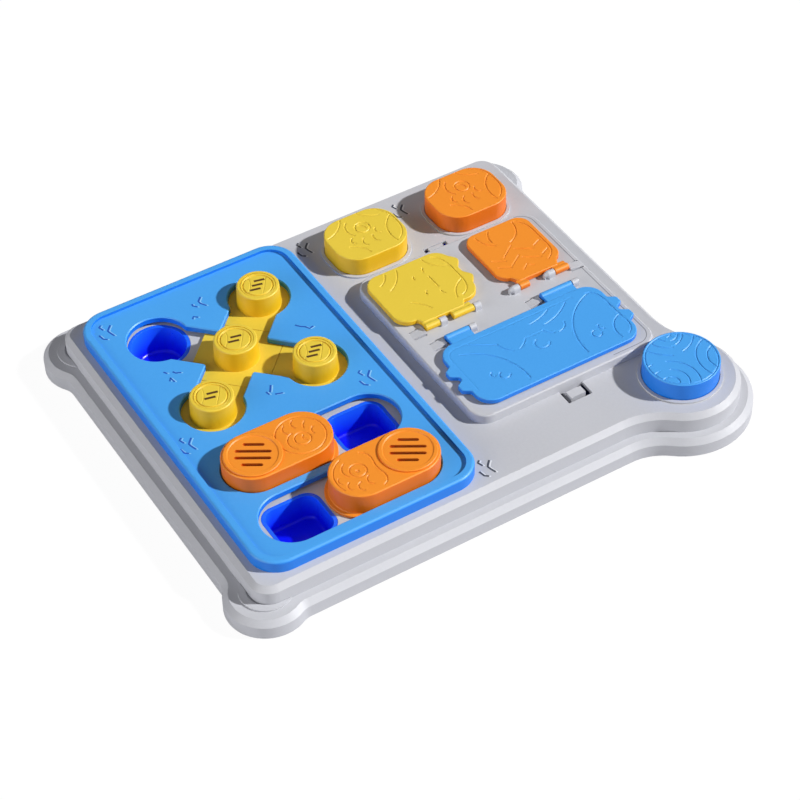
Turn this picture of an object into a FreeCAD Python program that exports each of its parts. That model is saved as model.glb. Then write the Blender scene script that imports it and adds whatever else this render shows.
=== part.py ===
import FreeCAD, Part
import math
import os

# Dog puzzle feeder board, in millimetres, +Z up, standing on z = 0.
# Plan places are first given from the front left corner of the lower tier,
# and every piece is shifted to the middle of the whole outline when it is saved.

# Lower tier of the board
RIGHT_MARGIN = 27.0
TIER_CORNER = 25.0
TIER_CHAMFER = 4.2
SHELL_WALL = 3.0
LOBE_RADIUS = 30.0
LOBE_INSET_X = 22.0
LOBE_INSET_Y = 25.0
LOBE_BLEND = 14.0
BIG_LOBE_RADIUS = 54.5
BIG_LOBE_INSET_X = 31.5
BIG_LOBE_INSET_Y = 31.0
BIG_LOBE_BLEND = 42.0

# Heights
FOOT_HEIGHT = 1.0
LEDGE_HEIGHT = 15.5
DECK_HEIGHT = 31.0
LEDGE_WIDTH = 6.0
DECK_CHAMFER = 4.0
PLATE_THICKNESS = 2.4

# Corner rings moulded on the lower lobes
RING_RADIUS = 19.0
RING_INNER_RADIUS = 13.5
RING_HEIGHT = 1.2

# Blue puzzle frame
FRAME_CORNER = 22.0
FRAME_MARGIN = 5.3
FRAME_HEIGHT = 10.0
RIM_WIDTH = 6.0
RIM_ROUNDING = 2.4
PANEL_DROP = 2.4
PANEL_THICKNESS = 4.8
PANEL_BEVEL = 0.8
FRAME_SKIRT = 3.0
CARRIER_INSET = 5.0
CARRIER_LAP = 2.0
CARRIER_LIP = 1.5

# Sliding pegs in their X of five pockets
PEG_PITCH = 60.0
X_FRONT_BRIDGE = 20.8
X_BACK_MARGIN = 24.8
POCKET_RADIUS = 23.5
ARM_HALF_WIDTH = 17.8
ARM_CORNER = 2.0
TILE_THICKNESS = 2.2
TILE_GAP = 0.4
TILE_EDGE_HALF = 21.0
PEG_RADIUS = 16.1
PEG_FOOT_RADIUS = 17.0
PEG_HEIGHT = 19.8
PEG_WALL = 2.6
PEG_ROUNDING = 1.3
PEG_CAP_THICKNESS = 2.0
PEG_CAP_SINK = 0.2
SEAT_GAP = 0.2
SLIDE_GAP = 0.2
PANEL_GAP = 0.4

# Orange sliders in their two lanes
LANE_HALF_LENGTH = 70.0
LANE_RADIUS = 23.5
LANE_FRONT_MARGIN = 12.5
LANE_SIDE_MARGIN = 18.5
LANE_BRIDGE = 7.0
LANE_GAP = 0.6
SLIDER_LENGTH = 84.0
SLIDER_LIP = 3.0
SLIDER_HEIGHT = 20.0
SLIDER_WALL = 2.4
SLIDER_ROUNDING = 1.4
VENT_RADIUS = 21.2
VENT_HEIGHT = 1.5
VENT_ROUNDING = 0.9
VENT_DISH_RADIUS = 17.6
VENT_DISH_DEPTH = 0.7
VENT_PLUG_RADIUS = 14.4
VENT_PLUG_DEPTH = 3.6
VENT_SLOT_WIDTH = 2.7
VENT_SLOT_PITCH = 6.5
VENT_SLOT_LONG = 26.0
VENT_SLOT_SHORT = 15.5
VENT_TURN = -32.0

# Blue treat cups hung in the deck
CUP_RADIUS = 20.6
CUP_WALL = 1.4
CUP_FLANGE = 1.2
CUP_FLANGE_THICKNESS = 1.2
CUP_DRAFT = 3.0
CUP_BOTTOM_HEIGHT = 8.0
CUP_FLOOR = 1.6
SQUARE_CUP_LENGTH = 41.0
SQUARE_CUP_DEPTH = 37.0
SQUARE_CUP_CORNER = 9.0
SQUARE_CUP_SPREAD = 41.5

# Raised grey tray that carries the flip lids
TRAY_GAP = 21.0
TRAY_Y = 43.3
TRAY_CORNER = 14.0
TRAY_HEIGHT = 8.0
TRAY_FLANGE = 6.0
TRAY_WALL = 2.0
TRAY_ROUNDING = 1.4
WELL_BOTTOM_HEIGHT = 9.0
COAMING = 1.0
COAMING_WIDTH = 1.6
WELL_INSET = 6.0

# Flip lids on the tray: plate sizes, and margins to the tray's edges
LID_THICKNESS = 4.0
LID_ROUNDING = 0.8
LEFT_LID_LENGTH = 71.0
LEFT_LID_DEPTH = 58.0
RIGHT_LID_LENGTH = 56.0
RIGHT_LID_DEPTH = 57.0
WIDE_LID_DEPTH = 66.5
LEFT_LID_MARGIN = 3.0
RIGHT_LID_MARGIN = 10.0
LID_GAP = 18.5
WIDE_LID_LEFT_MARGIN = 10.0
WIDE_LID_RIGHT_MARGIN = 9.5
LID_FRONT_MARGIN = 6.7
LID_BACK_MARGIN = 7.0
LEFT_LID_CORNER = 11.0
RIGHT_LID_CORNER = 8.0
WIDE_LID_CORNER = 12.0
PAW_TAB_RADIUS = 4.6
PAW_TAB_BLEND = 2.4
LEFT_LID_CUT = 11.0
NECK_GAP = 3.75
NECK_END_INSET = 4.0
BARREL_RADIUS = 2.3
LEFT_BARREL_INSET = 15.0
LEFT_BARREL_SHORT = 12.0
LEFT_BARREL_END = 14.0
LEFT_BARREL_LONG = 18.0
RIGHT_BARREL_INSET = 8.5
RIGHT_BARREL_END = 3.5
RIGHT_BARREL_SHORT = 8.5
RIGHT_BARREL_LONG = 12.5
WIDE_BARREL_INSET = 14.5
WIDE_BARREL_SHORT = 20.0
WIDE_BARREL_END = 13.5
WIDE_BARREL_LONG = 27.0
LEFT_HINGE_OFFSET = 9.0
RIGHT_HINGE_OFFSET = 10.0
WIDE_HINGE_OFFSET = 8.5
HINGE_SPACING = 18.0
HINGE_LIFT = 3.0
ARM_THICKNESS = 3.0
TRUNNION_RADIUS = 1.2
TRUNNION_LENGTH = 3.2
TRUNNION_CLEARANCE = 0.08
KNUCKLE_RADIUS = 2.9
KNUCKLE_LENGTH = 5.4
KNUCKLE_GAP = 0.5
CONE_LENGTH = 3.2
TONGUE_LENGTH = 11.0
TONGUE_WIDTH = 7.0
TONGUE_RISE = 2.0
TONGUE_SLIT = 1.2
TONGUE_GAP = 0.8

# Lift-off caps and the round lid on the big lobe
CAP_LENGTH = 60.5
CAP_DEPTH = 50.5
CAP_CORNER = 19.0
CAP_HEIGHT = 16.6
CAP_ROUNDING = 1.6
CAP_WALL = 2.6
LEFT_CAP_MARGIN = 2.3
RIGHT_CAP_MARGIN = 4.8
CAP_FRONT_GAP = 10.2
CAP_BACK_MARGIN = 13.3
ROUND_LID_RADIUS = 28.3
ROUND_LID_HEIGHT = 15.6
SEAT_RING_WIDTH = 2.6
SEAT_RING_HEIGHT = 1.3
SEAT_RING_GAP = 0.5
CAP_CUP_INSET = 8.0

# Release slots of the flip lid tray
HOOK_SLOT_LENGTH = 20.5
HOOK_SLOT_DEPTH = 13.5
HOOK_LENGTH = 12.5
HOOK_DEPTH = 7.0
HOOK_TONGUE = 3.4
BACK_HOOK_SLOT_DEPTH = 5.0
BACK_HOOK_DEPTH = 3.6

# Screws, bosses and rubber feet
SCREW_RADIUS = 1.5
SCREW_LENGTH = 13.0
SCREW_HEAD_RADIUS = 2.8
SCREW_HEAD_HEIGHT = 1.4
SCREW_CLEARANCE = 0.05
DRIVE_LENGTH = 3.6
DRIVE_WIDTH = 0.8
DRIVE_DEPTH = 0.7
BOSS_RADIUS = 4.0
BOSS_INSET = 14.0
FOOT_RADIUS = 11.0

# Levels and places that follow from the sizes above
SHELL_TOP = DECK_HEIGHT - SHELL_WALL
UPPER_INSET = TIER_CHAMFER + LEDGE_WIDTH
FRAME_X = UPPER_INSET + DECK_CHAMFER + FRAME_MARGIN
DIAGONAL = math.sqrt(0.5)
PEG_REACH = PEG_PITCH * DIAGONAL
FRAME_LENGTH = 2.0 * (LANE_HALF_LENGTH + LANE_SIDE_MARGIN)
LANE_CENTRE_X = FRAME_LENGTH / 2.0
LANE_FRONT_Y = LANE_FRONT_MARGIN + LANE_RADIUS
LANE_BACK_Y = LANE_FRONT_Y + 2.0 * LANE_RADIUS + LANE_BRIDGE
PEG_CENTRE_X = FRAME_LENGTH / 2.0
PEG_CENTRE_Y = LANE_BACK_Y + LANE_RADIUS + X_FRONT_BRIDGE + POCKET_RADIUS + PEG_REACH
FRAME_DEPTH = PEG_CENTRE_Y + PEG_REACH + POCKET_RADIUS + X_BACK_MARGIN
TRAY_X = FRAME_LENGTH + TRAY_GAP
TRAY_LENGTH = LEFT_LID_MARGIN + LEFT_LID_LENGTH + LID_GAP + RIGHT_LID_LENGTH + RIGHT_LID_MARGIN
WIDE_LID_LENGTH = TRAY_LENGTH - WIDE_LID_LEFT_MARGIN - WIDE_LID_RIGHT_MARGIN
WIDE_HINGE_Y = TRAY_Y + LID_FRONT_MARGIN + WIDE_LID_DEPTH + WIDE_HINGE_OFFSET
UPPER_HINGE_Y = WIDE_HINGE_Y + HINGE_SPACING
UPPER_LID_END = max(LEFT_HINGE_OFFSET + LEFT_LID_DEPTH, RIGHT_HINGE_OFFSET + RIGHT_LID_DEPTH)
TRAY_DEPTH = UPPER_HINGE_Y + UPPER_LID_END + LID_BACK_MARGIN - TRAY_Y
LEFT_LID_BOX = (TRAY_X + LEFT_LID_MARGIN, UPPER_HINGE_Y + LEFT_HINGE_OFFSET, LEFT_LID_LENGTH, LEFT_LID_DEPTH)
RIGHT_LID_BOX = (TRAY_X + LEFT_LID_MARGIN + LEFT_LID_LENGTH + LID_GAP, UPPER_HINGE_Y + RIGHT_HINGE_OFFSET,
                 RIGHT_LID_LENGTH, RIGHT_LID_DEPTH)
WIDE_LID_BOX = (TRAY_X + WIDE_LID_LEFT_MARGIN, TRAY_Y + LID_FRONT_MARGIN, WIDE_LID_LENGTH, WIDE_LID_DEPTH)
CAP_Y = TRAY_Y + TRAY_DEPTH + CAP_FRONT_GAP + CAP_DEPTH / 2.0
LEFT_CAP_X = TRAY_X + LEFT_CAP_MARGIN + CAP_LENGTH / 2.0
RIGHT_CAP_X = TRAY_X + TRAY_LENGTH - RIGHT_CAP_MARGIN - CAP_LENGTH / 2.0
HOOK_X = TRAY_X + TRAY_LENGTH / 2.0
TIER_LENGTH = FRAME_X + TRAY_X + TRAY_LENGTH + RIGHT_MARGIN
TIER_DEPTH = 2.0 * FRAME_X + max(FRAME_DEPTH, CAP_Y + CAP_DEPTH / 2.0 + CAP_BACK_MARGIN)
TILE_BOTTOM = DECK_HEIGHT + SLIDE_GAP
TILE_TOP = TILE_BOTTOM + TILE_THICKNESS
FRAME_TOP = DECK_HEIGHT + FRAME_HEIGHT
PANEL_TOP = FRAME_TOP - PANEL_DROP
PANEL_BOTTOM = max(PANEL_TOP - PANEL_THICKNESS, TILE_TOP + PANEL_GAP)
TRAY_TOP = DECK_HEIGHT + TRAY_HEIGHT
LID_BOTTOM = TRAY_TOP + COAMING
LID_TOP = LID_BOTTOM + LID_THICKNESS
HINGE_HEIGHT = TRAY_TOP + HINGE_LIFT
MIN_X = min(0.0, LOBE_INSET_X - LOBE_RADIUS)
MAX_X = max(TIER_LENGTH, TIER_LENGTH - BIG_LOBE_INSET_X + BIG_LOBE_RADIUS)
MIN_Y = min(0.0, BIG_LOBE_INSET_Y - BIG_LOBE_RADIUS)
MAX_Y = max(TIER_DEPTH, TIER_DEPTH - LOBE_INSET_Y + LOBE_RADIUS)
MIDDLE = FreeCAD.Vector(-(MIN_X + MAX_X) / 2.0, -(MIN_Y + MAX_Y) / 2.0, 0.0)
LARGE = 2.0 * TIER_LENGTH

os.makedirs("parts", exist_ok=True)


def vec(x, y, z=0.0):
    return FreeCAD.Vector(x, y, z)


def from_frame(x, y):
    """A plan place measured from the blue frame's front left corner."""
    return x + FRAME_X, y + FRAME_X


def save(name, shape):
    """Write one piece, shifted to the middle of the board's outline."""
    placed = shape.copy()
    placed.translate(MIDDLE)
    placed.exportStep("parts/" + name + ".step")


def disc(x, y, radius, bottom, top):
    return Part.makeCylinder(radius, top - bottom, vec(x, y, bottom))


def box(x0, y0, x1, y1, bottom, top):
    return Part.makeBox(x1 - x0, y1 - y0, top - bottom, vec(x0, y0, bottom))


def rounded_wire(x, y, length, depth, corner, height):
    """A rounded rectangle, corner x and y at the front left."""
    radius = min(corner, length / 2.0 - 0.01, depth / 2.0 - 0.01)
    centres = ((x + length - radius, y + radius, -90.0), (x + length - radius, y + depth - radius, 0.0),
               (x + radius, y + depth - radius, 90.0), (x + radius, y + radius, 180.0))
    arcs = []
    for cx, cy, start in centres:
        turn = [math.radians(start + step) for step in (0.0, 45.0, 90.0)]
        arcs.append([vec(cx + radius * math.cos(a), cy + radius * math.sin(a), height) for a in turn])
    edges = []
    for index, points in enumerate(arcs):
        edges.append(Part.Arc(*points).toShape())
        edges.append(Part.makeLine(points[2], arcs[(index + 1) % 4][0]))
    return Part.Wire(edges)


def rounded_block(x, y, length, depth, corner, bottom, top):
    wire = rounded_wire(x, y, length, depth, corner, bottom)
    return Part.Face(wire).extrude(vec(0, 0, top - bottom))


def sunk_block(x, y, length, depth, corner, bottom, top, inset):
    """The rounded block with every side moved in by inset."""
    return rounded_block(x + inset, y + inset, length - 2 * inset, depth - 2 * inset,
                         max(corner - inset, 1.0), bottom, top)


def lane_block(x0, x1, y, radius, bottom, top):
    """A slot shape with round ends, from x0 to x1."""
    middle = box(x0 + radius, y - radius, x1 - radius, y + radius, bottom, top)
    ends = [disc(x0 + radius, y, radius, bottom, top), disc(x1 - radius, y, radius, bottom, top)]
    return middle.fuse(ends).removeSplitter()


def top_edges(shape, height):
    """The edges of a shape that lie wholly at one height."""
    found = []
    for edge in shape.Edges:
        bounds = edge.BoundBox
        if abs(bounds.ZMin - height) < 1e-4 and abs(bounds.ZMax - height) < 1e-4:
            found.append(edge)
    return found


def sharp_uprights(shape):
    """The upright edges where two walls meet at a corner."""
    found = []
    for edge in shape.Edges:
        bounds = edge.BoundBox
        if bounds.ZLength < 0.5 or bounds.XLength > 1e-4 or bounds.YLength > 1e-4:
            continue
        middle = edge.CenterOfMass
        normals = []
        for face in shape.ancestorsOfType(edge, Part.Face):
            u, v = face.Surface.parameter(middle)
            normals.append(face.normalAt(u, v))
        if len(normals) == 2 and abs(normals[0].dot(normals[1])) < 0.995:
            found.append(edge)
    return found


def lobes(inset):
    """Centres, radii and blend radii of the three small lobes."""
    right = TIER_LENGTH - LOBE_INSET_X
    back = TIER_DEPTH - LOBE_INSET_Y
    places = ((LOBE_INSET_X, LOBE_INSET_Y), (LOBE_INSET_X, back), (right, back))
    return [(x, y, LOBE_RADIUS - inset, LOBE_BLEND + inset) for x, y in places]


def big_lobe(inset):
    x, y = TIER_LENGTH - BIG_LOBE_INSET_X, BIG_LOBE_INSET_Y
    return [(x, y, BIG_LOBE_RADIUS - inset, BIG_LOBE_BLEND + inset)]


def board_block(inset, round_lobes, bottom, top):
    """The board's outline moved in by inset, as a block with its lobes blended in."""
    block = sunk_block(0.0, 0.0, TIER_LENGTH, TIER_DEPTH, TIER_CORNER, bottom, top, inset)
    for x, y, radius, blend in round_lobes:
        joined = block.fuse(disc(x, y, radius, bottom, top)).removeSplitter()
        block = joined.makeFillet(blend, sharp_uprights(joined))
    return block


def screw_places():
    """Nine screw places inside the deck, clear of every cup."""
    left = UPPER_INSET + BOSS_INSET
    right = TIER_LENGTH - UPPER_INSET - 2.0 * SHELL_WALL - BOSS_RADIUS - SEAT_GAP
    middle = FRAME_X + FRAME_LENGTH + BOSS_RADIUS
    back = TIER_DEPTH - left
    half = TIER_DEPTH / 2.0 - BOSS_INSET
    return ((left, left), (left, half), (left, back), (middle, left), (middle, half), (middle, back),
            (TIER_LENGTH - 2.0 * BIG_LOBE_INSET_X - left, left), (right, half), (right, back))


def foot_places():
    right = TIER_LENGTH - LOBE_INSET_X
    back = TIER_DEPTH - LOBE_INSET_Y
    return (("foot_front_left", LOBE_INSET_X, LOBE_INSET_Y), ("foot_back_left", LOBE_INSET_X, back),
            ("foot_back_right", right, back),
            ("foot_front_right", TIER_LENGTH - BIG_LOBE_INSET_X, BIG_LOBE_INSET_Y))


def peg_places():
    """The five pockets: a centre and the four ends of the X."""
    reach = PEG_REACH
    x, y = from_frame(PEG_CENTRE_X, PEG_CENTRE_Y)
    return {"centre": (x, y), "back_right": (x + reach, y + reach), "front_right": (x + reach, y - reach),
            "front_left": (x - reach, y - reach), "back_left": (x - reach, y + reach)}


def square_places():
    places = {}
    for lane, lane_y in (("front", LANE_FRONT_Y), ("back", LANE_BACK_Y)):
        for side, sign in (("left", -1.0), ("right", 1.0)):
            places[lane + "_" + side] = from_frame(LANE_CENTRE_X + sign * SQUARE_CUP_SPREAD, lane_y)
    return places


def cap_places():
    return {"left": from_frame(LEFT_CAP_X, CAP_Y), "right": from_frame(RIGHT_CAP_X, CAP_Y)}


def cap_block(x, y, grow, bottom, top):
    """The rounded square of a lift-off cap, grown or shrunk all round."""
    return sunk_block(x - CAP_LENGTH / 2.0, y - CAP_DEPTH / 2.0, CAP_LENGTH, CAP_DEPTH, CAP_CORNER,
                      bottom, top, -grow)


# Bottom plate: a flat sheet inside the lower tier, held by screws into the deck's bosses
def bottom_plate():
    plate = board_block(SHELL_WALL + SEAT_GAP, lobes(SHELL_WALL + SEAT_GAP) + big_lobe(SHELL_WALL + SEAT_GAP),
                        FOOT_HEIGHT, FOOT_HEIGHT + PLATE_THICKNESS)
    holes = []
    for x, y in screw_places():
        holes.append(disc(x, y, SCREW_RADIUS + 2 * SEAT_GAP, 0.0, DECK_HEIGHT))
        holes.append(disc(x, y, SCREW_HEAD_RADIUS + SEAT_GAP, 0.0, FOOT_HEIGHT + SCREW_HEAD_HEIGHT))
    return plate.cut(holes)


# Lower tier: an open ring with a chamfered edge, four lobes and moulded corner rings
def base_shell():
    outer = board_block(0.0, lobes(0.0) + big_lobe(0.0), FOOT_HEIGHT, LEDGE_HEIGHT)
    outer = outer.makeChamfer(TIER_CHAMFER, top_edges(outer, LEDGE_HEIGHT))
    hollow = board_block(SHELL_WALL, lobes(SHELL_WALL) + big_lobe(SHELL_WALL), 0.0, LEDGE_HEIGHT - SHELL_WALL)
    window_inset = UPPER_INSET + 2.0 * SHELL_WALL
    window = board_block(window_inset, big_lobe(window_inset), 0.0, DECK_HEIGHT)
    shell = outer.cut([hollow, window])
    deck_foot = board_block(UPPER_INSET - SEAT_GAP, big_lobe(UPPER_INSET - SEAT_GAP), 0.0, DECK_HEIGHT)
    for x, y, radius, blend in lobes(0.0):
        ring = disc(x, y, RING_RADIUS, LEDGE_HEIGHT, LEDGE_HEIGHT + RING_HEIGHT)
        ring = ring.cut(disc(x, y, RING_INNER_RADIUS, LEDGE_HEIGHT, DECK_HEIGHT))
        shell = shell.fuse(ring.cut(deck_foot))
    return shell


# Upper tier: the deck with its skirt, cup holes, seat rings and screw bosses
def deck_shell():
    outer = board_block(UPPER_INSET, big_lobe(UPPER_INSET), LEDGE_HEIGHT, DECK_HEIGHT)
    outer = outer.makeChamfer(DECK_CHAMFER, top_edges(outer, DECK_HEIGHT))
    inner = UPPER_INSET + SHELL_WALL
    deck = outer.cut(board_block(inner, big_lobe(inner), 0.0, SHELL_TOP))
    pieces = []
    for x, y in screw_places():
        boss = disc(x, y, BOSS_RADIUS, FOOT_HEIGHT + PLATE_THICKNESS, SHELL_TOP)
        pieces.append(boss)
    for x, y in cap_places().values():
        pieces.append(cap_block(x, y, SEAT_RING_GAP + SEAT_RING_WIDTH, DECK_HEIGHT,
                                DECK_HEIGHT + SEAT_RING_HEIGHT))
    lobe_x, lobe_y = TIER_LENGTH - BIG_LOBE_INSET_X, BIG_LOBE_INSET_Y
    pieces.append(disc(lobe_x, lobe_y, ROUND_LID_RADIUS + SEAT_RING_GAP + SEAT_RING_WIDTH,
                       DECK_HEIGHT, DECK_HEIGHT + SEAT_RING_HEIGHT))
    deck = deck.fuse(pieces)
    cuts = []
    for x, y in screw_places():
        cuts.append(disc(x, y, SCREW_RADIUS + SCREW_CLEARANCE, 0.0,
                         FOOT_HEIGHT + SCREW_HEAD_HEIGHT + SCREW_LENGTH + SEAT_GAP))
    flange_floor = DECK_HEIGHT - CUP_FLANGE_THICKNESS
    for x, y in cap_places().values():
        cuts.append(cap_block(x, y, CUP_WALL + SEAT_GAP - CAP_CUP_INSET, SHELL_TOP - SHELL_WALL, FRAME_TOP))
        cuts.append(cap_block(x, y, CUP_WALL + CUP_FLANGE + SEAT_GAP - CAP_CUP_INSET, flange_floor,
                              FRAME_TOP))
        cuts.append(cap_block(x, y, SEAT_RING_GAP, DECK_HEIGHT, FRAME_TOP))
    lobe_cup = ROUND_LID_RADIUS - CAP_CUP_INSET
    cuts.append(disc(lobe_x, lobe_y, lobe_cup + CUP_WALL + SEAT_GAP, SHELL_TOP - SHELL_WALL, FRAME_TOP))
    cuts.append(disc(lobe_x, lobe_y, lobe_cup + CUP_WALL + CUP_FLANGE + SEAT_GAP, flange_floor, FRAME_TOP))
    cuts.append(disc(lobe_x, lobe_y, ROUND_LID_RADIUS + SEAT_RING_GAP, DECK_HEIGHT, FRAME_TOP))
    tray_x, tray_y = from_frame(TRAY_X, TRAY_Y)
    cuts.append(sunk_block(tray_x, tray_y, TRAY_LENGTH, TRAY_DEPTH, TRAY_CORNER, SHELL_TOP - SHELL_WALL,
                           FRAME_TOP, TRAY_FLANGE))
    cuts.append(frame_block(SHELL_TOP, FRAME_TOP, CARRIER_INSET + CARRIER_LAP))
    cuts.append(frame_block(DECK_HEIGHT - CARRIER_LIP, FRAME_TOP, CARRIER_INSET - SEAT_GAP))
    cuts.extend(hook_slots())
    return deck.cut(cuts)


def frame_block(bottom, top, inset):
    """The blue frame's outline moved in by inset."""
    return sunk_block(FRAME_X, FRAME_X, FRAME_LENGTH, FRAME_DEPTH, FRAME_CORNER, bottom, top, inset)


# Cup carrier: a flat plate let into the deck under the blue frame, which hides its seam
def cup_carrier():
    lip_floor = DECK_HEIGHT - CARRIER_LIP
    plate = frame_block(SHELL_TOP, lip_floor, CARRIER_INSET + CARRIER_LAP + SEAT_GAP)
    plate = plate.fuse(frame_block(lip_floor, DECK_HEIGHT, CARRIER_INSET))
    cuts = []
    flange_floor = DECK_HEIGHT - CUP_FLANGE_THICKNESS
    for x, y in peg_places().values():
        cuts.append(disc(x, y, CUP_RADIUS + CUP_WALL + SEAT_GAP, 0.0, FRAME_TOP))
        cuts.append(disc(x, y, CUP_RADIUS + CUP_WALL + CUP_FLANGE + SEAT_GAP, flange_floor, FRAME_TOP))
    for x, y in square_places().values():
        cuts.append(square_block(x, y, CUP_WALL + SEAT_GAP, 0.0, FRAME_TOP))
        cuts.append(square_block(x, y, CUP_WALL + CUP_FLANGE + SEAT_GAP, flange_floor, FRAME_TOP))
    return plate.cut(cuts)


def hook_slots():
    """Two openings where the flip lid tray hooks under the deck."""
    tray_x, tray_y = from_frame(TRAY_X, TRAY_Y)
    middle = from_frame(HOOK_X, 0.0)[0]
    low = SHELL_TOP - SHELL_WALL
    half = HOOK_SLOT_LENGTH / 2.0
    front = box(middle - half, tray_y - HOOK_SLOT_DEPTH, middle + half, tray_y, low, FRAME_TOP)
    gap = (HOOK_SLOT_DEPTH - HOOK_DEPTH) / 2.0
    back_y = tray_y + TRAY_DEPTH + 2.0 * gap
    back = box(middle - half, back_y, middle + half, back_y + BACK_HOOK_SLOT_DEPTH, low, FRAME_TOP)
    return [front, back]


def square_block(x, y, grow, bottom, top):
    return sunk_block(x - SQUARE_CUP_LENGTH / 2.0, y - SQUARE_CUP_DEPTH / 2.0, SQUARE_CUP_LENGTH,
                      SQUARE_CUP_DEPTH, SQUARE_CUP_CORNER, bottom, top, -grow)


# Treat cups: thin blue bowls that drop into the deck and hang by a flange
def round_cup(x, y, radius):
    flange_floor = DECK_HEIGHT - CUP_FLANGE_THICKNESS
    flange = disc(x, y, radius + CUP_WALL + CUP_FLANGE, flange_floor, DECK_HEIGHT)
    height = DECK_HEIGHT - CUP_BOTTOM_HEIGHT
    wall = Part.makeCone(radius + CUP_WALL - CUP_DRAFT, radius + CUP_WALL, height,
                         vec(x, y, CUP_BOTTOM_HEIGHT))
    inside = Part.makeCone(radius - CUP_DRAFT, radius, height - CUP_FLOOR,
                           vec(x, y, CUP_BOTTOM_HEIGHT + CUP_FLOOR))
    inside = inside.makeFillet(CUP_DRAFT, top_edges(inside, CUP_BOTTOM_HEIGHT + CUP_FLOOR))
    return flange.fuse(wall).cut(inside)


def hung_cup(block):
    """A straight cup of any plan: block gives the plan grown all round between two heights."""
    flange = block(CUP_WALL + CUP_FLANGE, DECK_HEIGHT - CUP_FLANGE_THICKNESS, DECK_HEIGHT)
    wall = block(CUP_WALL, CUP_BOTTOM_HEIGHT, DECK_HEIGHT)
    inside = block(0.0, CUP_BOTTOM_HEIGHT + CUP_FLOOR, DECK_HEIGHT)
    inside = inside.makeFillet(CUP_DRAFT, top_edges(inside, CUP_BOTTOM_HEIGHT + CUP_FLOOR))
    return flange.fuse(wall).cut(inside)


# Blue puzzle frame: rimmed cover with an X of pockets and two slider lanes
def x_opening(bottom, top):
    """The X of pockets: two crossing arms and four round ends."""
    x, y = peg_places()["centre"]
    arms = []
    for turn in (45.0, 135.0):
        arm = box(x - PEG_PITCH, y - ARM_HALF_WIDTH, x + PEG_PITCH, y + ARM_HALF_WIDTH, bottom, top)
        arm.rotate(vec(x, y), vec(0, 0, 1), turn)
        arms.append(arm)
    cutter = arms[0].fuse(arms[1])
    for name, (px, py) in peg_places().items():
        if name != "centre":
            cutter = cutter.fuse(disc(px, py, POCKET_RADIUS, bottom, top))
    cutter = cutter.removeSplitter()
    return cutter.makeFillet(ARM_CORNER, sharp_uprights(cutter))


def lane_opening(lane_y, bottom, top):
    x, y = from_frame(LANE_CENTRE_X, lane_y)
    return lane_block(x - LANE_HALF_LENGTH, x + LANE_HALF_LENGTH, y, LANE_RADIUS, bottom, top)


def puzzle_frame():
    body = frame_block(DECK_HEIGHT, FRAME_TOP, 0.0)
    body = body.makeFillet(RIM_ROUNDING, top_edges(body, FRAME_TOP))
    recess = frame_block(PANEL_TOP, LARGE, RIM_WIDTH)
    under = frame_block(0.0, PANEL_BOTTOM, FRAME_SKIRT)
    body = body.cut([recess, under])
    openings = [x_opening(PANEL_BOTTOM, FRAME_TOP), lane_opening(LANE_FRONT_Y, PANEL_BOTTOM, FRAME_TOP),
                lane_opening(LANE_BACK_Y, PANEL_BOTTOM, FRAME_TOP)]
    body = body.cut(openings)
    bevels = []
    for edge in top_edges(body, PANEL_TOP):
        bounds = edge.BoundBox
        near_rim = min(bounds.XMin - FRAME_X, bounds.YMin - FRAME_X, FRAME_X + FRAME_LENGTH - bounds.XMax,
                       FRAME_X + FRAME_DEPTH - bounds.YMax)
        if near_rim > RIM_WIDTH + 1.0:
            bevels.append(edge)
    return body.makeChamfer(PANEL_BEVEL, bevels)


# Yellow pegs: a square tile under the frame with a hollow knob, and a gripped cap in its top
def peg_tile(x, y):
    half = (PEG_PITCH - TILE_GAP) / 2.0
    tile = box(x - half, y - half, x + half, y + half, TILE_BOTTOM, TILE_TOP)
    cut = half - TILE_EDGE_HALF
    uprights = [edge for edge in tile.Edges if edge.BoundBox.ZLength > TILE_THICKNESS / 2.0]
    tile = tile.makeChamfer(cut, uprights)
    tile.rotate(vec(x, y), vec(0, 0, 1), 45.0)
    top = DECK_HEIGHT + PEG_HEIGHT
    knob = Part.makeCone(PEG_FOOT_RADIUS, PEG_RADIUS, top - TILE_TOP, vec(x, y, TILE_TOP))
    knob = knob.makeFillet(PEG_ROUNDING, top_edges(knob, top))
    body = tile.fuse(knob)
    seat = top - PEG_CAP_THICKNESS - PEG_CAP_SINK
    body = body.cut(disc(x, y, PEG_RADIUS - PEG_WALL - PEG_WALL / 4.0, TILE_BOTTOM, seat - PEG_WALL / 2.0))
    return body.cut(disc(x, y, PEG_RADIUS - PEG_WALL, seat, top))


def peg_cap(x, y):
    top = DECK_HEIGHT + PEG_HEIGHT - PEG_CAP_SINK
    cap = disc(x, y, PEG_RADIUS - PEG_WALL - SEAT_GAP, top - PEG_CAP_THICKNESS, top)
    return cap.makeFillet(PEG_CAP_THICKNESS / 6.0, top_edges(cap, top))


# Orange sliders: hollow bodies with a lip under the frame, and a vented cap on one end
def slider_body(x0, y, vent_x):
    radius = LANE_RADIUS - LANE_GAP
    x1 = x0 + SLIDER_LENGTH
    top = DECK_HEIGHT + SLIDER_HEIGHT
    body = lane_block(x0, x1, y, radius, TILE_BOTTOM, top)
    body = body.makeFillet(SLIDER_ROUNDING, top_edges(body, top))
    lip = lane_block(x0 - SLIDER_LIP, x1 + SLIDER_LIP, y, radius + SLIDER_LIP, TILE_BOTTOM, TILE_TOP)
    hollow = lane_block(x0 + SLIDER_WALL, x1 - SLIDER_WALL, y, radius - SLIDER_WALL, TILE_BOTTOM,
                        top - SLIDER_WALL)
    return body.fuse(lip).cut([hollow, disc(vent_x, y, VENT_PLUG_RADIUS + SEAT_GAP, TILE_BOTTOM, top)])


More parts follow.
